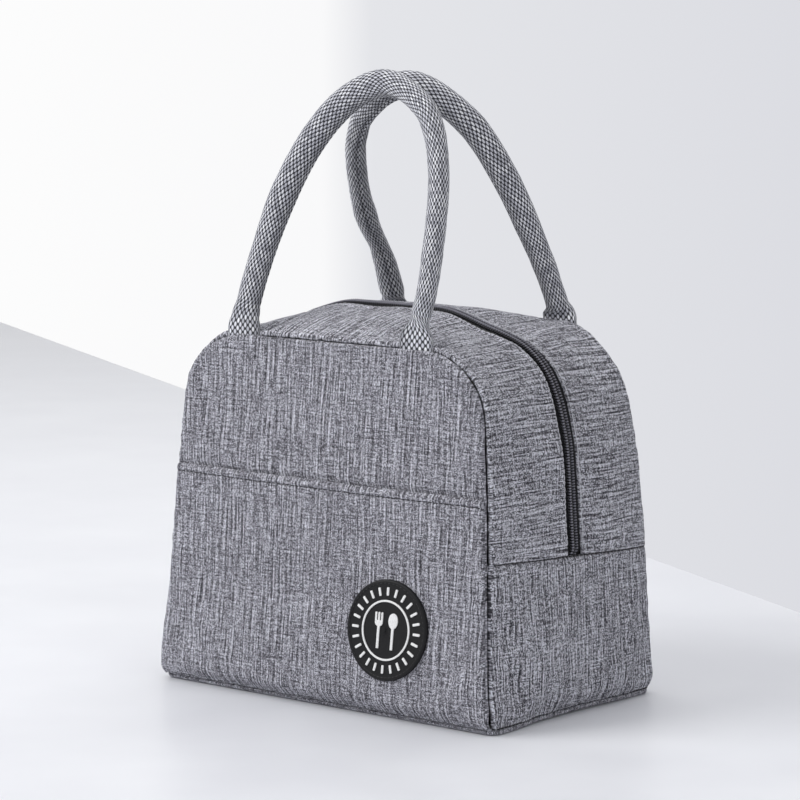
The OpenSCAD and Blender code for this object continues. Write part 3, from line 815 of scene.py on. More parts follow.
def widen(p, uv, beside, shift=0.0):
    """Adds columns beyond a grid's two side edges. beside makes them, nearest first, from an edge's points and the way
    that the edge faces, and shift moves their texture outwards."""
    for col, way in ((0, -1), (-1, 1)):
        more = [e[:, None] for e in beside(p[:, col], way)]
        same = [uv[:, col][:, None] + np.array([way * shift, 0.0])] * len(more)
        p = np.concatenate(more[::-1] + [p] if way < 0 else [p] + more, 1)
        uv = np.concatenate(same + [uv] if way < 0 else [uv] + same, 1)
    return p, uv


INTO_WALL, INTO_SIDE = np.array([0.0, 1.0, 0.0]), np.array([-1.0, 0.0, 0.0])
# where each piece is cut from the endless cloth, so that no two share their flecks
CUT_BACK, CUT_POCKET, CUT_GUSSET_BACK = np.array([331.0, 57.0]), np.array([460.0, -60.0]), np.array([517.0, 211.0])
CUT_SIDE, CUT_SIDE_LEFT = np.array([170.0, 400.0]), np.array([247.0, 533.0])


def wall_cloth(name, field, seed, back):
    """A whole front or back sheet, with its edges turned in at the seams."""
    z = (BODY_H - SEAM - even_steps(BODY_H - SEAM - (FOOT_Z + 0.1)))[::-1]
    n = int(round(2 * (BODY_W / 2 - SEAM_STEPS[-1]) / STEP))
    x = columns(z, np.linspace(-1, 1, n + 1))
    z = np.repeat(z[:, None], x.shape[1], 1)
    p = points(x, wall_y(z) + wall_depth(x, z, field, seed, back), z)

    def into_seam(edge, way):
        nx = np.clip((np.abs(edge[:, 0]) - CORNER_X) / (CORNER_R - SEAM), 0, math.cos(SIDE_LEAN))
        return lips(edge, points(-way * nx, 0.0, -np.sqrt(1 - nx * nx)), INTO_WALL)

    p, uv = widen(p, points(x, z), into_seam)
    over = lips(p[-1:], np.array([0.0, 0.0, -1.0]), INTO_WALL)
    p = np.concatenate([p] + over)
    uv = np.concatenate([uv] + [uv[-1:] + [0, k + 1.0] for k in range(len(over))])
    p, uv = foot_turn(p, uv, INTO_WALL)
    if back:
        uv = uv + CUT_BACK
    return half_sheet(name, p, uv, CLOTH, CLOTH_T, back)


# each half's wall and gusset strip: their simulated swell, and the seed of their small waves
HALVES = {"front": (wall_field, 11, front_strip, 61), "back": (back_field, 23, back_strip, 71)}
panels = {k: wall_cloth(f"{k}_panel", h[0], h[1], k == "back") for k, h in HALVES.items()}

# ---------------------------------------------------------------- pocket
HEM = 3.8  # distance of the hem's stitches below the pocket's edge
POCKET_OFF = 1.45


def pocket_bulge(x, z):
    """How far the pocket's cloth stands in front of the wall's."""
    wr, c = unit(x, z)
    d = edge_distance(x, z)
    below = POCKET_H - z
    under = wall_field.at(wr, c)[..., 0] * calm(d, HELD)
    own = pocket_field.at((z - BAND_H) / (POCKET_H - BAND_H), c)[..., 0] * calm(d, HELD)
    out = np.maximum(own - under, 0.0) * smooth(below / 12)
    # the folded hem is thicker, dips at its stitches and puckers a little along them
    hem = 0.5 * smooth((HEM + 0.9 - below) / 1.0)
    stitch_line = -0.9 * np.exp(-(((below - HEM) / 0.5) ** 2))
    pucker = 0.2 * np.exp(-(((below - HEM) / 5.0) ** 2)) * waves(x, below * 0.4, 7.0, 41) * calm(d, 6.0)
    open_mouth = 0.7 * np.exp(-below / 9.0) * (0.6 + 0.4 * waves(x, 0.0 * x, 70.0, 43)) * calm(d, 30.0)
    corner_fold = 0.5 * np.exp(-(((x - 96 + 0.16 * (z - 20)) / 2.6) ** 2))
    corner_fold = corner_fold * smooth((z - 10) / 20) * smooth((74 - z) / 26)
    swell = out + hem + stitch_line + pucker + np.maximum(open_mouth, 0) + corner_fold
    return POCKET_OFF * smooth((d - SEAM + 1.2) / 1.8) + swell


def loose_pocket(x, z):
    return wall_y(z) + wall_depth(x, z, wall_field, 11) - pocket_bulge(x, z)


def quadratic(x, z):
    x, z = np.ravel(x) - BADGE_X, np.ravel(z) - BADGE_Z
    return points(1.0, x, z, x * x, x * z, z * z)


disc_r, disc_a = np.linspace(0, BADGE_D / 2, 30)[:, None], np.linspace(0, 2 * PI, 48, endpoint=False)[None]
fit_x, fit_z = BADGE_X + disc_r * np.cos(disc_a), BADGE_Z + disc_r * np.sin(disc_a)
badge_fit = np.linalg.lstsq(quadratic(fit_x, fit_z), loose_pocket(fit_x, fit_z).ravel(), rcond=None)[0]


def badge_base(x, z):
    """Y of the smooth cloth under the badge."""
    return (quadratic(x, z) @ badge_fit).reshape(np.shape(x))


def pocket_surface(x, z):
    """Y of the pocket's outer face, held flat under the badge and drawn in a little round it."""
    r = np.hypot(x - BADGE_X, z - BADGE_Z)
    pinch = 0.22 * np.exp(-(((r - BADGE_D / 2) / 1.6) ** 2))
    return mix(loose_pocket(x, z), badge_base(x, z), smooth((BADGE_D / 2 + 8 - r) / 7)) + pinch


def make_pocket():
    steps = np.array([0, 0.08, 0.25, 0.55, 1.0, 1.7, 2.4, 3.0, 3.4, 3.8, 4.2, 4.6, 5.2, 6.2, 7.6])
    below = np.concatenate([steps[:-1], np.linspace(steps[-1], POCKET_H - (FOOT_Z + 0.15), 62)])
    z = (POCKET_H - below)[::-1]
    x = columns(z, np.linspace(-1, 1, 128))
    z = np.repeat(z[:, None], x.shape[1], 1)
    y = pocket_surface(x, z)
    # round over the folded top edge
    lip = smooth(1 - (POCKET_H - z) / 0.7) * 0.45
    p = points(x, y + lip, z)
    over = [points(x[-1:], y[-1:] + back_by, z[-1:] - drop)
            for drop, back_by in ((-0.2, 0.65), (-0.05, 0.9), (0.5, 0.96), (2.6, 0.9))]
    uv = points(x, z) + CUT_POCKET
    p = np.concatenate([p, *over])
    uv = np.concatenate([uv, *[uv[-1:] + [0, 0.6 * k] for k in range(1, 5)]])
    p, uv = widen(p, uv, lambda edge, way: [edge + [-0.3 * way, 0.9, 0.0]])
    p, uv = foot_turn(p, uv, INTO_WALL)
    return sheet_mesh("pocket", p, uv, CLOTH, 0.5)


pocket = make_pocket()
line_x = np.linspace(-(side_x(POCKET_H - HEM) - 2.6), side_x(POCKET_H - HEM) - 2.6, 260)
line_z = np.full_like(line_x, POCKET_H - HEM)
pocket_stitches = stitches(
    "pocket_stitches", points(line_x, pocket_surface(line_x, line_z) + 0.02, line_z),
    [0.0, -1.0, 0.05], 3.2, 2.9, 0.33, DARK_THREAD)

# ---------------------------------------------------------------- gusset strips


def strip_depth(t, y, field, seed, back=False):
    """Depth of a gusset half below its crowned surface. y is negative on both, as if it were the front one."""
    o, _ = outline(t)
    z = o[..., 1]
    front = wall_y(z)
    d = (y - front) * math.cos(WALL_LEAN)
    end = np.minimum(t, LINE_L - t)
    depth = roll(d) + roll(end, 1.2, 1.2)
    v = (y - front) / (-ZIP_EDGE - front)
    c = t / LINE_L
    hold = calm(d, HELD) * calm(end, 8.0)
    out = field.at(v, 1 - c if back else c)[..., 0] * hold
    out = out + 0.25 * puckers(d, t, 8.0, seed)
    out = out + 0.3 * hold * waves(t, y, 40.0, seed + 1)
    # the zip's seam: a shallow valley at the stitches and a firm fold beside the tape
    beside = -ZIP_EDGE - y
    out = out - 0.25 * np.exp(-(((beside - 3.2) / 0.8) ** 2)) + 0.12 * np.exp(-(((beside - 1.0) / 1.1) ** 2))
    out = out + 0.14 * np.exp(-(((beside - 3.5) / 3.5) ** 2)) * waves(t, beside * 0.3, 7.5, seed + 2)
    # cloth drawn towards the handle ends
    for x0 in (-FOOT_X, FOOT_X):
        aside = o[..., 0] - x0
        far = np.hypot(aside, d + 3.0)
        spread = np.arctan2(aside, d + 3.0)
        out = out + 0.75 * np.exp(-(((far - 17) / 13.0) ** 2)) * hold * np.sin(8.0 * spread + 0.09 * far + seed)
    return depth - out


def gusset(name, field, seed, back):
    t = even_steps(LINE_L, np.array([0, 0.06, 0.2, 0.45, 0.8, 1.2, 1.8, 2.8]))[None]
    front = wall_y(outline(t)[0][..., 1])
    start = SEAM / math.cos(WALL_LEAN)
    width = -ZIP_EDGE - front - start
    share = np.concatenate([SEAM_STEPS[:-1] / 60.0, np.linspace(SEAM_STEPS[-1] / 60.0, 1 - 3.2 / 60, 30),
                            1 - np.array([2.6, 2.0, 1.4, 0.9, 0.5, 0.2, 0.0]) / 60])[:, None]
    y = front + start + width * share
    t = np.repeat(t, len(share), 0)
    edge = np.clip(1 - (-ZIP_EDGE - y) / 0.6, 0, 1)
    depth = strip_depth(t, y, field, seed, back) + 0.3 * edge**2
    rows, uvs = [strip_point(t, y, depth)], [points(t, y)]
    # the folded zip edge, turned under
    for dy, down in ((0.12, 0.65), (-0.1, 0.98), (-0.8, 1.12), (-6.0, 1.2)):
        rows.append(strip_point(t[-1:], y[-1:] + dy, depth[-1:] + down))
        uvs.append(points(t[-1:], y[-1:] - dy + 1.0))
    first = [strip_point(t[:1], y[:1] + a, depth[:1] + b) for a, b in zip(LIP_IN, LIP_DEEP)][::-1]
    p = np.concatenate([*first, *rows])
    uv = np.concatenate([*[points(t[:1], y[:1] - 1.0)] * len(first), *uvs])
    # both ends run on down behind the side panels' top seams, which are not quite level
    p, uv = widen(p, uv, lambda edge, way: [edge - [way * inward, 0.0, down]
                                            for down, inward in ((0.15, 0.9), (1.5, 1.7), (5.0, 2.4))], 2.0)
    p[..., 2] -= smooth((FOLD_Z + 26 - p[..., 2]) / 26) * side_fall(p[..., 1]) * (-1 if back else 1)
    if back:
        uv = uv + CUT_GUSSET_BACK
    return half_sheet(name, p, uv, CLOTH_ACROSS, 0.5, back)


strips = {k: gusset(f"gusset_{k}_cloth", h[2], h[3], k == "back") for k, h in HALVES.items()}


def zip_stitching(name, field, seed, back):
    t = np.linspace(3.0, LINE_L - 3.0, 700)
    y = np.full_like(t, -ZIP_EDGE - 0.75)
    p = strip_point(t, y, strip_depth(t, y, field, seed, back) + 0.02)
    n = outline(t)[1]
    normal = points(n[:, 0], 0.0, n[:, 1])
    if back:
        p, normal = mirrored(p), mirrored(normal)
    return stitches(name, p, normal, 3.0, 2.6, 0.3, GREY_THREAD, 0.15)


zip_stitches = {k: zip_stitching(f"zip_stitches_{k}", h[2], h[3], k == "back") for k, h in HALVES.items()}

# ---------------------------------------------------------------- lower side walls


def side_panel(name, sign, field, seed):
    low = FOOT_Z + 0.1
    share = 1 - even_steps(FOLD_Z - low)[::-1] / (FOLD_Z - low)  # 0 at the foot and 1 at the top seam
    across = even_steps(BODY_D) / BODY_D
    s = 1 - 2 * across[None] + np.zeros((len(share), 1))
    share = share[:, None] + np.zeros((1, len(across)))
    z0 = mix(low, FOLD_Z, share)
    y = (wall_y(z0, SEAM) + foot_roll(z0)) * s
    z = mix(low, side_top(y) + 0.1, share)
    d = (np.abs(wall_y(z0) + foot_roll(z0)) - np.abs(y)) * math.cos(WALL_LEAN)
    top = side_top(y) - z
    depth = roll(d) + roll(top + 0.1, 1.9, 1.9) + foot_roll(z)
    out = side_crown(s, z0)
    c = across[None] + 0 * share
    hold = calm(d, HELD) * calm(top, 6.0)
    out = out + field.at(share, c if sign > 0 else 1 - c)[..., 0] * hold
    out = out + 0.22 * puckers(d, z, 8.5, seed)
    out = out + 0.25 * np.exp(-top / 6) * calm(top, 3) * waves(y, top * 0.3, 8.0, seed + 1)
    out = out + 0.35 * hold * waves(y, z, 42.0, seed + 2)
    out = out + 0.3 * np.exp(-np.clip(z - 6, 0, None) / 9) * calm(d, 6) * waves(y, z * 0.2, 13.0, seed + 3)
    p = points(side_x(z) - (depth - out), y, z)
    uv = points(y, z) + (CUT_SIDE if sign > 0 else CUT_SIDE_LEFT)
    top_lip = [p[-1:] + np.array([-inward, 0, -down])
               for down, inward in ((-0.02, 0.4), (0.05, 0.9), (0.3, 1.4), (1.5, 1.9), (4.0, 2.1))]
    p, uv = np.concatenate([p] + top_lip), np.concatenate([uv] + [uv[-1:] + [0, 1.0]] * len(top_lip))
    p, uv = foot_turn(p, uv, INTO_SIDE)
    p, uv = widen(p, uv, lambda edge, way: lips(edge, np.array([0.0, -way, 0.0]), INTO_SIDE))
    return sheet_mesh(name, p * np.array([sign, 1, 1]), uv, CLOTH_ACROSS, CLOTH_T, flip=sign < 0)


# each lower side: the way that it faces, its simulated swell and its seed
SIDES = {"right": (1, side_right, 83), "left": (-1, side_left, 97)}
side_cloths = {k: side_panel(f"side_cloth_{k}", *v) for k, v in SIDES.items()}

# ---------------------------------------------------------------- base


def rounded_rect(half_x, half_y, radius, per_corner=14, per_side=34):
    """Points round a rounded rectangle, anticlockwise from above, with the length along it."""
    pts = []
    corners = [(1, -1, -PI / 2), (1, 1, 0.0), (-1, 1, PI / 2), (-1, -1, PI)]
    for k, (sx, sy, a0) in enumerate(corners):
        cx, cy = sx * (half_x - radius), sy * (half_y - radius)
        arc = a0 + np.linspace(0, PI / 2, per_corner)
        pts += [(cx + radius * math.cos(a), cy + radius * math.sin(a)) for a in arc]
        nx, ny, na = corners[(k + 1) % 4]
        nxt = (nx * (half_x - radius) + radius * math.cos(na), ny * (half_y - radius) + radius * math.sin(na))
        here = pts[-1]
        for j in range(1, per_side):
            pts.append((mix(here[0], nxt[0], j / per_side), mix(here[1], nxt[1], j / per_side)))
    return np.array(pts)


def base_tray(name, profile, material, thickness):
    """A shallow tray. profile is a list of (inset from the edge, height), from the middle out and up."""
    hx, hy = BODY_W / 2 - BASE_INSET, BODY_D / 2 - BASE_INSET
    rings, uvs = [], []
    for e, h in profile:
        r = max(BASE_R - min(e, BASE_R - 1.0), 1.0)
        ring = rounded_rect(hx - e, hy - e, min(r, hx - e - 0.2, hy - e - 0.2))
        rings.append(np.concatenate([ring, np.full((len(ring), 1), h)], 1))
        flat = h < 0.5 or e > 5
        uvs.append(ring[:, ::-1] if flat else points(lengths(ring) + 40, h))
    p, uv = np.array(rings), np.array(uvs)
    nrm = np.cross(np.roll(p, -1, 1) - np.roll(p, 1, 1), np.gradient(p, axis=0))
    nrm /= np.maximum(np.linalg.norm(nrm, axis=-1, keepdims=True), 1e-9)
    inner = p - nrm * thickness
    rows, n = p.shape[:2]
    quads = grid_quads(rows, n, True)
    total, top = rows * n, (rows - 1) * n
    faces = [tuple(f) for f in quads] + [tuple(f[::-1] + total) for f in quads]
    faces += [(top + (k + 1) % n, total + top + (k + 1) % n, total + top + k, top + k) for k in range(n)]
    # close the small hole in the middle of each face
    faces += [tuple(range(n))[::-1], tuple(range(total, total + n))]
    return make_mesh(name, np.concatenate([p.reshape(-1, 3), inner.reshape(-1, 3)]), faces,
                     np.concatenate([uv.reshape(-1, 2)] * 2), material)


# painted shade, partly: these are the base seam's stitches, and their dark thread also stands in for the shadow line in
# the seam
def base_stitches():
    ring = rounded_rect(BODY_W / 2 - BASE_INSET - 0.1, BODY_D / 2 - BASE_INSET - 0.1, BASE_R)
    ring = np.concatenate([ring, ring[:1]])
    path = np.concatenate([ring, np.full((len(ring), 1), 3.3)], 1)
    along = np.gradient(path, axis=0)
    normal = points(along[:, 1], -along[:, 0], -0.1)
    return stitches("base_stitches", path, normal, 3.0, 2.8, 0.42, DARK_THREAD, 0.2)


# painted shade, partly: these are the side panels' top-seam stitches, and their dark thread also stands in for the
# shadow line along that seam
def side_stitches(name, sign):
    y = np.linspace(-1, 1, 220) * (wall_y(FOLD_Z, SEAM) * -1 - 1.2)
    s = y / 66.0
    z = side_top(y) + 0.15
    x = side_x(z) + side_crown(s, z) - 0.75
    path = points(sign * x, y, z)
    return stitches(name, path, [sign, 0.0, 0.25], 3.0, 2.7, 0.38, DARK_THREAD, 0.1)


seam_stitches = base_stitches()
side_stitching = {k: side_stitches(f"side_stitches_{k}", v[0]) for k, v in SIDES.items()}


def ring_ripple(o, amount, seed):
    """Ripples a base edge a little, as hand sewing does."""
    co = np.array([v.co for v in o.data.vertices]) * 1000
    edge = smooth((co[:, 2] - 0.5) / 2.0)
    wave = waves(co[:, 0], co[:, 1], 17.0, seed)
    co[:, 0] += np.sign(co[:, 0]) * amount * edge * wave * (np.abs(co[:, 0]) > BODY_W / 2 - 14)
    co[:, 1] += np.sign(co[:, 1]) * amount * edge * wave * (np.abs(co[:, 1]) > BODY_D / 2 - 14)
    o.data.vertices.foreach_set("co", (co * 0.001).astype(np.float32).ravel())
    o.data.update()


BASE_PROFILE = [
    (62.0, 0.0), (48.0, 0.0), (34.0, 0.0), (22.0, 0.0), (12.0, 0.0), (6.0, 0.0), (2.6, 0.0), (1.5, 0.03), (0.85, 0.18),
    (0.4, 0.5), (0.1, 1.0), (0.0, 1.6), (0.06, 2.15), (0.3, 2.65), (0.75, 2.98), (1.5, 3.1), (3.4, 3.05)]
base_panel = base_tray("base_cloth", BASE_PROFILE, CLOTH, 0.5)
ring_ripple(base_panel, 0.18, 7)

# ---------------------------------------------------------------- foam and foil inside the walls

FOAM_T, FOIL_T = 3.3, 0.35


def crumple(u, v, seed, size=11.0, fine=5.5):
    """Creases of foil: broad ones, with finer ones on them."""
    return waves(u, v, size, seed, 14) + 0.6 * waves(u, v, fine, seed + 1, 14)


def wall_layer(name, side, depth, thickness, inset, material, crinkle=0.0, step=3.6):
    """A whole front or back layer under the cloth, inside an outline inset from it."""
    field, seed, back = *HALVES[side][:2], side == "back"
    z = np.linspace(BAND_H + 0.8, BODY_H - inset, int((BODY_H - BAND_H) / step))
    x = (half_width(z, inset) - foot_roll(z))[:, None] * np.linspace(-1, 1, int(BODY_W / step))[None]
    z = np.repeat(z[:, None], x.shape[1], 1)
    y = wall_y(z) + wall_depth(x, z, field, seed, back) + depth + crinkle * crumple(x, z, seed + 5)
    return half_sheet(name, points(x, y, z), points(x, z), material, thickness, back)


def strip_layer(name, side, y_in, y_out, depth, thickness, material, crinkle=0.0, step=3.6, rise=0.0):
    """A gusset layer under the cloth, from y_in behind the front wall to y_out from the middle."""
    field, seed, back = *HALVES[side][2:], side == "back"
    t = np.linspace(0, LINE_L, int(LINE_L / step))[None]
    v = np.linspace(0, 1, int(58 / step))[:, None]
    y = mix(wall_y(outline(t)[0][..., 1], y_in), -y_out, v)
    t = t + 0 * v
    base = strip_depth(t, np.minimum(y, -ZIP_EDGE), field, seed, back)
    rough = crinkle * crumple(t, y, seed + 5) - rise * smooth((y + 17) / 4)
    p = strip_point(t, y, np.maximum(base, -0.5) + depth + rough)
    return half_sheet(name, p, points(t, y), material, thickness, back)


def side_layer(name, side, inset, depth, thickness, material, crinkle=0.0, step=3.6):
    sign, field, seed = SIDES[side]
    z = np.linspace(BAND_H + 0.8, FOLD_Z - 1.0, int(76 / step))[:, None]
    s = np.linspace(1, -1, int(136 / step))[None]
    y = (wall_y(z, inset) + foot_roll(z)) * s
    z = z + 0 * s
    share = (z - BAND_H) / (FOLD_Z - BAND_H)
    c = (1 - s) / 2 + 0 * z
    sim = field.at(share, c if sign > 0 else 1 - c)[..., 0] * calm(np.minimum(np.abs(1 - np.abs(s)) * 66, 30), 9)
    x = side_x(z) - foot_roll(z) + side_crown(s, z) + np.minimum(sim, 0.4) - depth - crinkle * crumple(y, z, seed + 5)
    return sheet_mesh(name, points(x * sign, y, z), points(y, z), material, thickness, flip=sign < 0)


foams = {k: wall_layer(f"{k}_foam", k, 1.25, FOAM_T, 5.2, FOAM) for k in HALVES}
linings = {k: wall_layer(f"{k}_lining", k, 5.2, FOIL_T, 6.6, LINING, 0.28, 1.9) for k in HALVES}
strip_foams = {k: strip_layer(f"gusset_{k}_foam", k, 5.6, 17.0, 1.3, FOAM_T, FOAM) for k in HALVES}
strip_linings = {k: strip_layer(f"gusset_{k}_lining", k, 6.6, 7.0, 5.3, FOIL_T, LINING, 0.25, 1.9, 2.6) for k in HALVES}
side_foams = {k: side_layer(f"side_{k}_foam", k, 5.6, 1.5, 3.2, FOAM) for k in SIDES}
side_linings = {k: side_layer(f"side_{k}_lining", k, 6.6, 5.4, FOIL_T, LINING, 0.22, 1.9) for k in SIDES}


def flat_layer(name, inset, radius, z, thickness, material, crinkle, step=3.0):
    """A rounded flat layer in the base, inset from the base's edge."""
    half_x, half_y = BODY_W / 2 - BASE_INSET - inset, BODY_D / 2 - BASE_INSET - inset
    a = np.linspace(0, 1, int(half_y / step) + 2)[1:, None]
    ring = rounded_rect(half_x, half_y, radius, 10, 60)
    x, y = a * ring[:, 0], a * ring[:, 1]
    top = points(x, y, z + crinkle * crumple(x, y, 301, 13.0, 6.0) * smooth((1 - a) * 12)).reshape(-1, 3)
    rows, cols = x.shape
    n, last = len(top), (rows - 1) * cols
    faces = [tuple(f) for f in grid_quads(rows, cols, True)]
    low = [tuple(i + n for i in f[::-1]) for f in faces]
    rim = [(last + k, last + (k + 1) % cols, n + last + (k + 1) % cols, n + last + k) for k in range(cols)]
    middle = fan(2 * n, 0, cols) + fan(2 * n + 1, n, cols, True)
    verts = np.concatenate([top, top - [0, 0, thickness], [[0, 0, z], [0, 0, z - thickness]]])
    return make_mesh(name, verts, [f[::-1] for f in faces + low + rim] + middle, verts[:, :2], material)


base_foam = flat_layer("base_foam_slab", 3.0, 5.0, 3.6, 2.6, FOAM, 0.0)
base_lining = flat_layer("base_foil", 4.0, 4.0, 4.45, 0.3, LINING, 0.14, 1.6)

# ---------------------------------------------------------------- bindings over the inside seams


def ribbon(name, path, across, outward, width, flip=False):
    """A strip of binding tape along a path, a little arched, with rounded edges."""
    w = np.array([-1, -0.94, -0.7, -0.35, 0, 0.35, 0.7, 0.94, 1]) * width / 2
    arch = 0.25 * (1 - (w / (width / 2)) ** 4)
    p = path + w[:, None, None] * across + arch[:, None, None] * outward
    uv = points(lengths(path)[None], w[:, None])
    return sheet_mesh(name, p, uv, BINDING, 0.7, flip=flip)


def seam_binding(name, side):
    field, seed, back = *HALVES[side][2:], side == "back"
    t = np.linspace(1.0, LINE_L - 1.0, 230)
    o, n = outline(t)
    y = wall_y(o[:, 1], 11.2)
    depth = strip_depth(t, y, field, seed, back) + 6.3 + 0.12 * waves(t, 0 * t, 9.0, seed + 9)
    path = strip_point(t, y, np.maximum(depth, 6.0))
    across = INTO_WALL
    inward = points(-n[:, 0], 0.0, -n[:, 1])
    if back:
        path, across = mirrored(path), mirrored(across)
    return ribbon(name, path, across, inward, 8.0, flip=not back)


bindings = {k: seam_binding(f"{k}_binding", k) for k in HALVES}
corner_bindings = []
for sx in (1, -1):
    for sy in (1, -1):
        z = np.linspace(BAND_H + 14, FOLD_Z - 2, 44)
        wob = 0.12 * waves(z, 0 * z, 9.0, 400 + sx * 2 + sy)
        x = side_x(z) - 6.7 + wob - foot_roll(z) * 0.2
        path = points(sx * x, sy * (wall_y(z, 11.4) + foot_roll(z)), z)
        corner = f"{'r' if sx > 0 else 'l'}{'f' if sy > 0 else 'b'}"
        inward = np.array([-sx, 0.0, 0.0])
        corner_bindings.append(ribbon(f"corner_binding_{corner}", path, INTO_WALL, inward, 8.0, flip=sx < 0))
edge_ring = rounded_rect(BODY_W / 2 - 13.2, BODY_D / 2 - 12.4, 5.0, 12, 60)
edge_ring = np.concatenate([edge_ring, edge_ring[:1]])
ring_t = np.gradient(edge_ring, axis=0)
ring_t /= np.linalg.norm(ring_t, axis=1, keepdims=True)
ring_in = points(-ring_t[:, 1], ring_t[:, 0], 0.0)
ring_path = np.concatenate([edge_ring, np.full((len(edge_ring), 1), BAND_H + 4.6)], 1)
base_binding = ribbon("base_binding", ring_path, np.array([0.0, 0.0, 1.0]), ring_in, 7.4)

# ---------------------------------------------------------------- zip
CHAIN_TOP = 0.15  # height of the chain's top above the gusset, before it sinks


def chain_dive(t):
    """How far the zip sinks at each end to pass under the side panels."""
    return 2.2 * smooth((4.0 - np.minimum(t, LINE_L - t)) / 5.0)


def chain_sunk(t):
    """The teeth stand proud on the top and lie deeper down the sides."""
    return 1.3 * np.abs(outline(t)[1][..., 0]) - 0.5


def chain_frames(t):
    """Origins and axes (along, across to the back, outwards) on the zip's line."""
    o, n = outline(t)
    n3 = points(n[:, 0], 0.0, n[:, 1])
    along = points(n[:, 1], 0.0, -n[:, 0])
    origin = strip_point(t, 0 * t, chain_dive(t) + chain_sunk(t) - CHAIN_TOP)
    return np.stack([origin, along, points(0 * t, 1.0, 0.0), n3], 1)


TOOTH = 1.42
tooth_t = np.arange(-2.6, LINE_L + 2.6, TOOTH)


def coil(name, back):
    """One half of the zip's chain, and the two rows of stitching that hold it to its tape."""
    frames = chain_frames(tooth_t + (TOOTH / 2 if back else 0.0))
    if back:
        frames[:, 2] *= -1

    def copies(path, radius, sides):
        v, f = bead(path, radius, sides)
        return many(v, [q[::-1] for q in f] if back else f, frames)

    knots = make_mesh(f"{name}_sewing", *copies(
        [(0.0, -2.25, 0.1), (0.0, -2.05, 0.62), (0.0, -1.6, 0.86), (0.0, -1.05, 0.72), (0.0, -0.8, 0.2)], 0.43, 8),
        None, ZIP_THREAD)
    teeth = make_mesh(name, *copies(
        [(-0.22, -2.75, -1.0), (-0.2, -2.9, -0.4), (-0.15, -2.6, 0.12), (-0.05, -1.7, 0.3), (0.05, -0.9, 0.2),
         (0.15, -0.25, -0.12), (0.2, 0.25, -0.5), (0.22, 0.3, -0.95)], 0.42, 7), None, COIL)
    return teeth, knots


coils = {k: coil(f"coil_{k}", k == "back") for k in HALVES}


def tape(name, back):
    t = np.linspace(-3.0, LINE_L + 3.0, 260)[None]
    y = np.array([-14.0, -12.0, -9.0, -7.6, -6.4, -5.8, -5.2, -4.4, -3.4, -2.6, -1.6, -1.1])[:, None]
    t, y = t + 0 * y, y + 0 * t
    depth = 1.15 + (0.5 + chain_sunk(t)) * smooth((5.6 + y) / 2.2) + chain_dive(t) + 0.05 * waves(t, y, 6.0, 501)
    return half_sheet(name, strip_point(t, y, depth), points(t, y), TAPE, 0.45, back)


tapes = {k: tape(f"tape_{k}", k == "back") for k in HALVES}

# ---------------------------------------------------------------- plates cut from outlines


def plate(outlines, thickness, bevel, res=2):
    """Points and faces of a flat plate with rounded edges. The first outline is its edge and the rest are holes."""
    cu = bpy.data.curves.new("plate", "CURVE")
    cu.dimensions, cu.fill_mode = "2D", "BOTH"
    cu.extrude, cu.bevel_depth, cu.bevel_resolution, cu.offset = thickness / 2 - bevel, bevel, res, -bevel
    for pts in outlines:
        sp = cu.splines.new("POLY")
        sp.points.add(len(pts) - 1)
        sp.points.foreach_set("co", np.array([(x, y, 0, 1) for x, y in pts], np.float32).ravel())
        sp.use_cyclic_u = True
    o = add_object("plate", cu)
    me = bpy.data.meshes.new_from_object(o.evaluated_get(bpy.context.evaluated_depsgraph_get()))
    bm = bmesh.new()
    bm.from_mesh(me)
    bmesh.ops.remove_doubles(bm, verts=bm.verts, dist=0.004)
    bmesh.ops.recalc_face_normals(bm, faces=bm.faces)
    bm.verts.index_update()
    verts = np.array([v.co[:] for v in bm.verts])
    faces = [tuple(v.index for v in f.verts) for f in bm.faces]
    bm.free()
    bpy.data.objects.remove(o, do_unlink=True)
    bpy.data.curves.remove(cu)
    bpy.data.meshes.remove(me)
    return verts, faces


def circle(x, y, r, n=40, start=0.0, turn=2 * PI, end=False):
    a = start + np.linspace(0, turn, n, endpoint=end)
    return [(x + r * math.cos(q), y + r * math.sin(q)) for q in a]


def rounded_box(w, h, r, n=6, x=0.0, y=0.0):
    pts = []
    for sx, sy, a0 in ((1, -1, -PI / 2), (1, 1, 0), (-1, 1, PI / 2), (-1, -1, PI)):
        pts += circle(x + sx * (w / 2 - r), y + sy * (h / 2 - r), r, n, a0, PI / 2, True)
    return pts


# ---------------------------------------------------------------- slider and pull
slide_origin = np.array([side_x(93.0) + 4.5, 0.0, 93.0])
slide_axes = np.array([[math.cos(SIDE_LEAN), 0, math.sin(SIDE_LEAN)], [0, 1, 0],
                       [-math.sin(SIDE_LEAN), 0, math.cos(SIDE_LEAN)]])
PULL_X = 5.3  # how far the pull's pivot stands out from the slider's middle


def on_zip(v):
    """From the slider's own axes (out of the wall, towards the back, up the zip) to the row frame, on the left side."""
    return (slide_origin + np.asarray(v) @ slide_axes) * [-1, 1, 1]


def face_out(x, outlines, *sizes, across=0.0, up=0.0):
    """A plate drawn in the plane of the wall, put at depth x on the slider, and aside by across and up."""
    v, f = plate(outlines, *sizes)
    return on_zip(points(v[:, 2] + x, v[:, 0] + across, v[:, 1] + up)), f


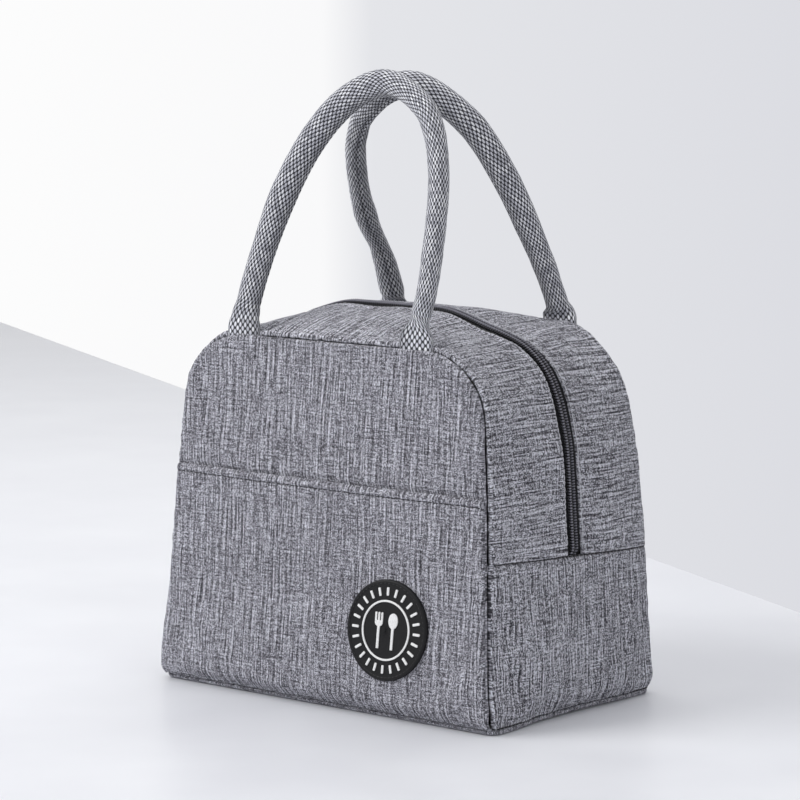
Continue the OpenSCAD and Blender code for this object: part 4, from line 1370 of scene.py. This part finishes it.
shield = ([(-3.0, -6.0), (3.0, -6.0)] + circle(3.3, -4.9, 1.1, 8, -PI / 2, PI / 2, True)
          + [(4.4, 0.5)] + circle(2.4, 3.8, 2.2, 10, 0, PI / 2, True) + circle(-2.4, 3.8, 2.2, 10, PI / 2, PI / 2, True)
          + [(-4.4, 0.5)] + circle(-3.3, -4.9, 1.1, 8, PI, PI / 2, True))
parts = [face_out(x, [shield], 1.2, 0.3, 3) for x in (2.5, -2.5)]
parts.append(face_out(0.0, [rounded_box(1.1, 3.2, 0.45)], 5.0, 0.15, up=-4.4))
for side in (1, -1):  # low flanges that guide the coils, on the outer plate
    parts.append(face_out(1.55, [rounded_box(0.7, 9.0, 0.3)], 0.9, 0.12, across=side * 3.95, up=0.4))
ear = [(-3.0, 0.0), (3.0, 0.0), (2.9, 1.6)] + circle(0, 2.3, 1.95, 18, 0.35, PI - 0.7, True) + [(-2.9, 1.6)]
for side in (1, -1):
    v, f = plate([ear, circle(0, 2.2, 1.0, 28)], 1.0, 0.2)
    v = points(v[:, 1] + 3.05, v[:, 2] + side * 1.9, v[:, 0])
    parts.append((on_zip(v), f))
slider_body = make_mesh("slider_body", *join_parts(parts), None, METAL, soft=False)

pull_outline = ([(1.3, -8.0), (2.0, -9.6), (3.1, -11.0)] + circle(0, -26.6, 3.25, 26, PI, PI, True)[::-1]
                + [(-3.1, -11.0), (-2.0, -9.6), (-1.3, -8.0), (-1.3, -1.0), (1.3, -1.0)])
parts = [face_out(PULL_X, [pull_outline, circle(0, -25.2, 1.6, 30)], 1.4, 0.35, 3)]
grip = [rounded_box(3.4, 10.5, 1.6, 8, 0, -17.0), rounded_box(2.4, 9.5, 1.15, 8, 0, -17.0)]
for side in (1, -1):  # a raised line round the grip
    parts.append(face_out(PULL_X + side * 0.72, grip, 0.5, 0.12))
# the pivot, and the eye round it
for at, radius in (((-2.58, -2.4, 0, 2.4, 2.58), 0.93), ((-1.25, -1.15, 1.15, 1.25), 1.5)):
    v, f = bead([(PULL_X, y, 0) for y in at], radius, 28)
    parts.append((on_zip(v), f))
pull_tab = make_mesh("pull_tab", *join_parts(parts), None, METAL, soft=False)

# ---------------------------------------------------------------- badge
RING_R, BAR_R, BADGE_T = BADGE_D * 0.3, BADGE_D * 0.385, 1.6
BADGE_LIFT, BADGE_RIM, MARK_H = 0.1, 2.0, 0.6  # off the pocket, the rim's width, and how high the marks stand


def on_badge(v):
    """From the badge's own axes (right, up, outwards) to the row frame, following the pocket's curve."""
    v = np.asarray(v, float)
    x, z = BADGE_X + v[:, 0], BADGE_Z + v[:, 1]
    lean = math.sin(WALL_LEAN)
    return points(x, badge_base(x, z) - v[:, 2] - BADGE_LIFT, z + v[:, 2] * lean)


def make_badge():
    """A moulded rubber disc: a rounded grained rim, then a flat field that is a little lower."""
    edge, field = BADGE_D / 2 - BADGE_RIM, BADGE_T - 0.25
    r = np.concatenate([np.linspace(0.4, edge, 56),
                        edge + np.array([0.1, 0.2, 0.3, 0.4, 0.6, 0.9, 1.2, 1.5, 1.7, 1.85, 1.95, BADGE_RIM])])
    a = np.linspace(0, 2 * PI, 220, endpoint=False)
    top = np.full(len(r), field)
    rim = r > edge + 0.15
    top[rim] = BADGE_T * np.sqrt(np.clip(1 - ((r[rim] - edge - 1.0) / 1.25) ** 2 * (r[rim] > edge + 1.0), 0, 1))
    top[-1] = 0.7
    r = r[:, None]
    grain = 0.05 * waves(r * 3.0 + 0 * a, a[None] * 60 + 0 * r, 2.2, 601, 18)
    h = top[:, None] + grain * (r < edge + 1.4)
    p = points(r * np.cos(a), r * np.sin(a), h)
    low = p[-1:] * [1, 1, 0] + [0, 0, -0.05]
    p = np.concatenate([p, low])
    rows, n = p.shape[:2]
    verts = np.concatenate([p.reshape(-1, 3), [[0, 0, field], [0, 0, -0.05]]])
    c, last = rows * n, (rows - 1) * n
    faces = [tuple(f[::-1]) for f in grid_quads(rows, n, True)] + fan(c, 0, n) + fan(c + 1, last, n, True)
    return make_mesh("badge", on_badge(verts), faces, None, RUBBER)


badge = make_badge()


def raised(*outlines):
    """A mark moulded on the badge."""
    v, f = plate(outlines, MARK_H, 0.14)
    return on_badge(v + [0, 0, BADGE_T - 0.3 + MARK_H / 2]), f


parts = [raised(circle(0, 0, RING_R, 120), circle(0, 0, RING_R - 1.0, 120))]
for k in range(24):
    c, s = math.cos(k * 2 * PI / 24), math.sin(k * 2 * PI / 24)
    parts.append(raised((np.array(rounded_box(4.2, 1.3, 0.35, 4, BAR_R)) @ np.array([[c, s], [-s, c]])).tolist()))
TINE_Y, TINE_R, SPACING = 8.2, 0.55, 4.5
fork = [(-0.75, -9.4), (0.75, -9.4), (0.75, 1.6), (1.9, 2.2), (2.45, 3.2), (2.45, TINE_Y)]
fork += circle(1.9, TINE_Y, TINE_R, 7, 0, PI, True) + [(1.35, 4.6), (0.55, 4.6), (0.55, TINE_Y)]
fork += circle(0, TINE_Y, TINE_R, 7, 0, PI, True) + [(-0.55, 4.6), (-1.35, 4.6), (-1.35, TINE_Y)]
fork += circle(-1.9, TINE_Y, TINE_R, 7, 0, PI, True) + [(-2.45, 3.2), (-1.9, 2.2), (-0.75, 1.6)]
bowl = [(2.9 * math.cos(q), 5.0 + 3.9 * math.sin(q)) for q in np.linspace(-1.2, PI + 1.2, 34)]
spoon = [(-0.75, -9.4), (0.75, -9.4), (0.75, 1.0)] + bowl + [(-0.75, 1.0)]
parts += [raised([(x - SPACING, y) for x, y in fork]), raised([(x + SPACING, y) for x, y in spoon])]
badge_mark = make_mesh("badge_mark", *join_parts(parts), None, WHITE)
a, r = np.linspace(0, 2 * PI, 150), BADGE_D / 2 - 1.7
ring_path = on_badge(points(r * np.cos(a), r * np.sin(a), BADGE_T - 0.22))
badge_stitches = stitches("badge_stitches", ring_path, [0.0, -1.0, 0.0], 2.5, 2.0, 0.2,
                          thread("black thread", 24, 24, 26), 0.2)

# ---------------------------------------------------------------- handles
PIVOT_Y, PIVOT_Z = wall_y(BODY_H) + 0.3, BODY_H + 5
HANDLE_SIDES = 120
STUB = 10.5  # length of webbing below the pivot, mostly inside the seam


def arch_line(rise, sway, bends, step):
    """The handle's centreline in its own plane: points (x, height), evenly spaced, and the length along it."""
    a = np.linspace(0, PI, 4001)
    c = np.cos(a)
    x = FOOT_X * np.sign(c) * np.abs(c) ** 1.1 + sway * np.sin(a)
    h = rise * np.sin(a) ** 0.8
    x = x + by_limb(bends, h, a < PI / 2)
    x, h = np.concatenate([[x[0]], x, [x[-1]]]), np.concatenate([[-STUB], h, [-STUB]])
    s = lengths(points(x, h))
    q = np.linspace(0, s[-1], int(s[-1] / step) + 1)
    x, h = np.interp(q, s, x), np.interp(q, s, h)
    k = max(3, int(4.5 / step))
    kernel = np.hanning(2 * k + 1)[1:-1]
    kernel /= kernel.sum()

    def soften(v):
        pad = len(kernel) // 2
        ends = np.concatenate([2 * v[0] - v[pad:0:-1], v, 2 * v[-1] - v[-2:-pad - 2:-1]])
        return np.convolve(ends, kernel, "valid")

    return soften(x), soften(h), q


def by_limb(tables, h, right):
    """A value read by height from the right limb's table or the left one's."""
    return np.where(right, *(np.interp(h, *zip(*rows)) for rows in tables))


RIDGE_AT, GROOVE_AT = math.radians(-14), 0.33  # where round the cord its seam stands, and how far on the groove is


def handle_surface(shape, inset, step, sides, pattern=0.0, first=0.0, twist=0.0):
    """A grid of rings round one handle, thinned by inset. pattern is how high the flecks stand, and twist is the
    length of one turn of the core's strands."""
    rise, sway, tilt, back, bends, girths = shape
    x, h, s = arch_line(rise, sway, bends, step)
    if first:
        keep = h > first
        x, h, s = x[keep], h[keep], s[keep]
    tx, th = np.gradient(x), np.gradient(h)
    n = np.hypot(tx, th)
    tx, th = tx / n, th / n
    round_share = smooth((h + 4.5) / 9) if back else smooth((h - 0.5) / 11)
    girth = by_limb(girths, h, np.arange(len(h)) < np.argmax(h))
    wide = mix(TAB_W / 2, BROAD * girth, round_share if back else smooth((h + 4) / 14))[:, None]
    thick = mix((TAB_T - 0.5) / 2, NARROW * girth, round_share)[:, None]
    power = mix(3.2, 2.0, round_share)[:, None]
    b = (np.arange(sides) * 2 * PI / sides)[None]
    length = s[:, None] + 0 * b
    u, v = b / (2 * PI) * DOT_AROUND + 0 * length, length / DOT_ALONG
    cb, sb = np.cos(b), np.sin(b)
    radius = (np.abs(cb) ** power + np.abs(sb) ** power) ** (-1 / power)
    grow = 0 * length
    if pattern:
        far = [np.hypot(((u + k) % 1.0 - 0.5) / 0.42, ((v + k) % 1.0 - 0.5) / 0.5) for k in (0.0, 0.5)]
        dot = smooth((1.15 - np.minimum(*far)) / 0.8)
        seam = (b + PI - RIDGE_AT) % (2 * PI) - PI
        edge = 0.55 * np.exp(-((seam / 0.13) ** 2)) - 0.75 * np.exp(-(((seam - GROOVE_AT) / 0.1) ** 2))
        crease = 0.05 * waves(length, b * 6.5 + 0 * length, 9.0, 705 + back, 12)
        # a little unevenness, as a stuffed cord has
        uneven = 0.16 * round_share * waves(s, 0 * s, 31.0, 700 + back)
        grow = pattern * dot + round_share[:, None] * edge + crease + uneven[:, None]
    if twist:
        strands = np.abs(np.cos(1.5 * (b - length * 2 * PI / twist)))
        grow = grow - 0.9 * (1 - strands) ** 2
    thinner = inset * np.minimum(1, (thick - 0.15) / max(inset, 0.15) * 0.75)
    w = ((wide - inset) * radius + grow) * cb
    t = ((thick - thinner) * radius + grow) * sb
    # the flattened cord is turned part of the way round
    turn = (SECTION_TURN * round_share)[:, None]
    w, t = w * np.cos(turn) - t * np.sin(turn), w * np.sin(turn) + t * np.cos(turn)
    px = x[:, None] - th[:, None] * w
    ph = h[:, None] + tx[:, None] * w
    # lean inwards above the pivot
    lean = (ph + np.sqrt(ph * ph + 9.0)) / 2
    local = tilt * smooth((ph + 3) / 6)
    y = PIVOT_Y + TAB_T / 2 + 0.4 + math.sin(tilt) * lean + t * np.cos(local)
    z = PIVOT_Z + ph - (1 - math.cos(tilt)) * lean - t * np.sin(local)
    return points(px, -y if back else y, z), points(u, v)


WEAVE_H = 0.14  # how high the flecks stand
ROW_SKIP, SIDE_SKIP = 6, 4  # the inside of the tube is this much coarser


def handle_webbing(name, shape):
    outer, uv = handle_surface(shape, 0.0, 0.52, HANDLE_SIDES, WEAVE_H)
    inner, _ = handle_surface(shape, 1.0, 0.52, HANDLE_SIDES)
    rows, n = outer.shape[:2]
    inner = inner[::ROW_SKIP, ::SIDE_SKIP]
    ri, ni = inner.shape[:2]
    total = rows * n
    faces = [tuple(f) for f in grid_quads(rows, n, True)]
    faces += [tuple(i + total for i in f[::-1]) for f in grid_quads(ri, ni, True)]
    for ring_o, ring_i, way in ((0, total, 1), ((rows - 1) * n, total + (ri - 1) * ni, -1)):
        for k in range(ni):
            o = [ring_o + (SIDE_SKIP * k + j) % n for j in range(SIDE_SKIP + 1)]
            q = tuple(o + [ring_i + (k + 1) % ni, ring_i + k])
            faces.append(q[::-1] if way > 0 else q)
    if not shape[3]:
        faces = [f[::-1] for f in faces]
    o = make_mesh(name, np.concatenate([outer.reshape(-1, 3), inner.reshape(-1, 3)]), faces,
                  np.concatenate([uv.reshape(-1, 2), uv[::ROW_SKIP, ::SIDE_SKIP].reshape(-1, 2)]), WEBBING)
    # where the count of flecks starts again, carry it on across the face
    layer = o.data.uv_layers["cloth"].data
    for poly in o.data.polygons:
        us = [layer[i].uv[0] for i in poly.loop_indices]
        if len(us) == 4 and max(us) - min(us) > DOT_AROUND / 2:
            for i in poly.loop_indices:
                if layer[i].uv[0] < DOT_AROUND / 2:
                    layer[i].uv[0] += DOT_AROUND
    return o


def handle_core(name, shape):
    p, uv = handle_surface(shape, 1.7, 1.6, 48, first=10.0, twist=26.0)
    v, f = capped_tube(p)
    return make_mesh(name, v, f if shape[3] else [q[::-1] for q in f], uv.reshape(-1, 2), COTTON)


BROAD, NARROW, SECTION_TURN = 7.1, 5.35, math.radians(45)
# each arch: rise, sway, tilt, whether it is the back one, how far its right and left limbs bend aside by height,
# and how thick each of them is by height
HANDLES = {
    "front": (128.7, 3.0, math.radians(16.5), 0, (
        ((0, -2.8), (21, -0.8), (45, -0.7), (60, 0), (75, 1.4), (87, 2.4), (100, 3.8), (113, 4.9), (128.7, 1.0)),
        ((0, -4.2), (17, -3.4), (40, -2.0), (60, -2.0), (80, -1.5), (100, -1.2), (118, -0.7), (128.7, 1.0))), (
        ((0, 0.96), (70, 0.96), (95, 1.0)),
        ((0, 0.88), (30, 0.89), (50, 0.92), (62, 0.97), (70, 1.0)))),
    "back": (137.2, 7.0, math.radians(27.0), 1, (
        ((0, 1.0), (17, 0.3), (45, 0), (90, 0.5), (113, 1.7), (137.2, -1.0)),
        ((0, 2.2), (21, 2.9), (34, 2.1), (49, -0.9), (68, -3.8), (85, -5.6), (100, -7.3), (116, -7.2),
         (137.2, -1.0))), (
        ((0, 0.78), (16, 0.78), (27, 0.84), (50, 0.87), (64, 0.9), (75, 0.94), (85, 0.97), (110, 1.0)),
        ((0, 1.28), (8, 1.25), (17, 1.15), (26, 1.08), (34, 0.97), (46, 1.0), (58, 1.12), (75, 1.0))))}
webbing = {k: handle_webbing(f"{k}_webbing", h) for k, h in HANDLES.items()}
cores = {k: handle_core(f"{k}_core", h) for k, h in HANDLES.items()}


def handle_seam(name, shape):
    step = 0.9
    p, _ = handle_surface(shape, 0.0, step, HANDLE_SIDES, 0.0001)
    column = int(round((RIDGE_AT + GROOVE_AT) % (2 * PI) / (2 * PI) * HANDLE_SIDES)) % HANDLE_SIDES
    path, middle = p[:, column], p.mean(1)
    keep = slice(int(26 / step), -int(26 / step))
    return stitches(name, path[keep], (path - middle)[keep], 2.6, 2.1, 0.22, DARK_THREAD, 0.15)


handle_seams = {k: handle_seam(f"{k}_handle_seam", h) for k, h in HANDLES.items()}


def fold(o):
    """Bakes o's placement into its mesh."""
    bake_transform(o)
    return o


for side, sign in (("front", -1), ("back", 1)):
    cloth, layer, inner = panels[side], foams[side], linings[side]
    strip, strip_f, strip_l = strips[side], strip_foams[side], strip_linings[side]
    chain, sewing = coils[side]
    for o in (cloth, layer, inner, strip, strip_f, strip_l, bindings[side], tapes[side], chain, sewing,
              zip_stitches[side]):
        fold(o)
    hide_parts(f"{side}_panel_lower", f"{side}_panel_upper")
    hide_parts(f"{side}_foam_lower", f"{side}_foam_upper")
    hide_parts(f"{side}_lining_lower", f"{side}_lining_upper")
    for o, node in ((strip, f"gusset_{side}"), (strip_f, f"gusset_foam_{side}"), (strip_l, f"gusset_lining_{side}"),
                    (bindings[side], f"{side}_seam_binding"), (tapes[side], f"zipper_tape_{side}"),
                    (chain, f"zipper_coil_{side}"), (cores[side], f"{side}_handle_core")):
        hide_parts(node)
    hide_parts(f"{side}_handle_webbing", f"{side}_handle_ends")
    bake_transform(webbing[side])
    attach(cores[side], f"{side}_handle")
    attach(handle_seams[side], f"{side}_handle")

fold(pocket)
fold(pocket_stitches)
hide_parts("pocket_lower", "pocket_upper")

for o in (badge, badge_mark, badge_stitches, *side_cloths.values(), base_panel, base_foam, base_lining,
          base_binding, seam_stitches, *side_stitching.values(), *side_foams.values(), *side_linings.values(),
          *corner_bindings):
    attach(o, "lower_body")
for n, o in side_cloths.items():
    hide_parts(f"side_panel_{n}")
    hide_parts(f"side_foam_{n}")
    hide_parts(f"side_lining_{n}")
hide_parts("side_seam_bindings")
for o in corner_bindings:
    side_linings.values()
for o, node in ((badge, "badge_disc"), (badge_mark, "badge_inlay"), (base_panel, "base_panel"),
                (base_foam, "base_foam"), (base_lining, "base_lining"), (base_binding, "base_seam_binding"),
                (slider_body, "zipper_slider"), (pull_tab, "zipper_pull")):
    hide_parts(node)
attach(slider_body, "slider")
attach(pull_tab, "pull")
side_cloths.values()
side_foams.values()
side_linings.values()

# ---------------------------------------------------------------- table, backdrop, light and camera


def table_material():
    m = Nodes("table", Roughness=0.35, Specular_IOR_Level=0.4)
    n = m.noise(m.place(), 9.0, 3.0)
    m.set("Base Color", m.ramp(n, (0.3, 226, 227, 232), (0.7, 234, 235, 239)))
    m.set("Roughness", m.range(n, 0.3, 0.7, 0.32, 0.42))
    return m.mat


def glowing_backdrop_material():
    """A pale wall that glows with painted light: brighter on the left, where the window is, and dimmer towards the
    right.
    """
    m = Nodes("backdrop", Roughness=1.0, Base_Color=(0, 0, 0, 1), Specular_IOR_Level=0.0)
    x = m.node("SeparateXYZ", m.place()).outputs[0]
    m.set("Emission Color", m.ramp(m.range(x, -0.75, 0.75), (0.0, 253, 253, 253), (0.42, 249, 249, 250),
                                   (0.47, 228, 229, 233), (1.0, 218, 219, 225)))
    m.shader.inputs["Emission Strength"].default_value = 1.0
    return m.mat


VIEW_TURN, VIEW_RISE = math.radians(39.84), math.radians(7.1)
out, up = math.cos(VIEW_RISE), math.sin(VIEW_RISE)
to_camera = Vector((math.sin(VIEW_TURN) * out, -math.cos(VIEW_TURN) * out, up))
camera_data = bpy.data.cameras.new("camera")
camera_data.lens = 145.8
camera_data.sensor_width = 36.0
camera = add_object("camera", camera_data)
camera.location = (1.07311, -1.2903, 0.36032)
camera.rotation_euler = (-to_camera).to_track_quat("-Z", "Y").to_euler()
bpy.context.scene.camera = camera
bpy.context.scene.view_settings.view_transform = "Standard"

# the table's far edge runs from the far left to the near right behind the bag
corners = [(-2500, 1689), (-2500, -2500), (1600, -2500), (1600, -539)]
table = make_mesh("table", [(*c, 0) for c in corners] + [(*c, -24) for c in corners],
                  [(0, 1, 2, 3), (7, 6, 5, 4)] + [(k, k + 4, (k + 1) % 4 + 4, (k + 1) % 4) for k in range(4)], None,
                  table_material(), flat=True, soft=False)
wall = make_mesh("wall", [(-1500, -1500, 0), (1500, -1500, 0), (1500, 1500, 0), (-1500, 1500, 0)], [(0, 1, 2, 3)], None,
                 glowing_backdrop_material(), flat=True, soft=False)
wall.location = -to_camera * 3.2 + Vector((0, 0, 0.1))
wall.rotation_euler = camera.rotation_euler


KEY, FILL, TOP, SKY = 26, 5, 16, 0.42


def panel_light(name, place, aim, size, power):
    data = bpy.data.lights.new(name, "AREA")
    data.shape = "RECTANGLE"
    data.size = data.size_y = size
    data.energy = power
    o = add_object(name, data)
    o.location = place
    o.rotation_euler = (Vector(aim) - Vector(place)).to_track_quat("-Z", "Y").to_euler()


panel_light("key", (-1.1, -1.3, 1.3), (0, 0, 0.12), 1.3, KEY)
panel_light("fill", (1.5, -0.6, 0.9), (0, 0, 0.1), 1.2, FILL)
panel_light("top", (-0.2, 0.4, 1.8), (0, 0, 0.1), 1.6, TOP)
world = bpy.data.worlds.new("world")
world.use_nodes = True
world.node_tree.nodes["Background"].inputs[0].default_value = (0.93, 0.94, 0.97, 1)
world.node_tree.nodes["Background"].inputs[1].default_value = SKY
bpy.context.scene.world = world
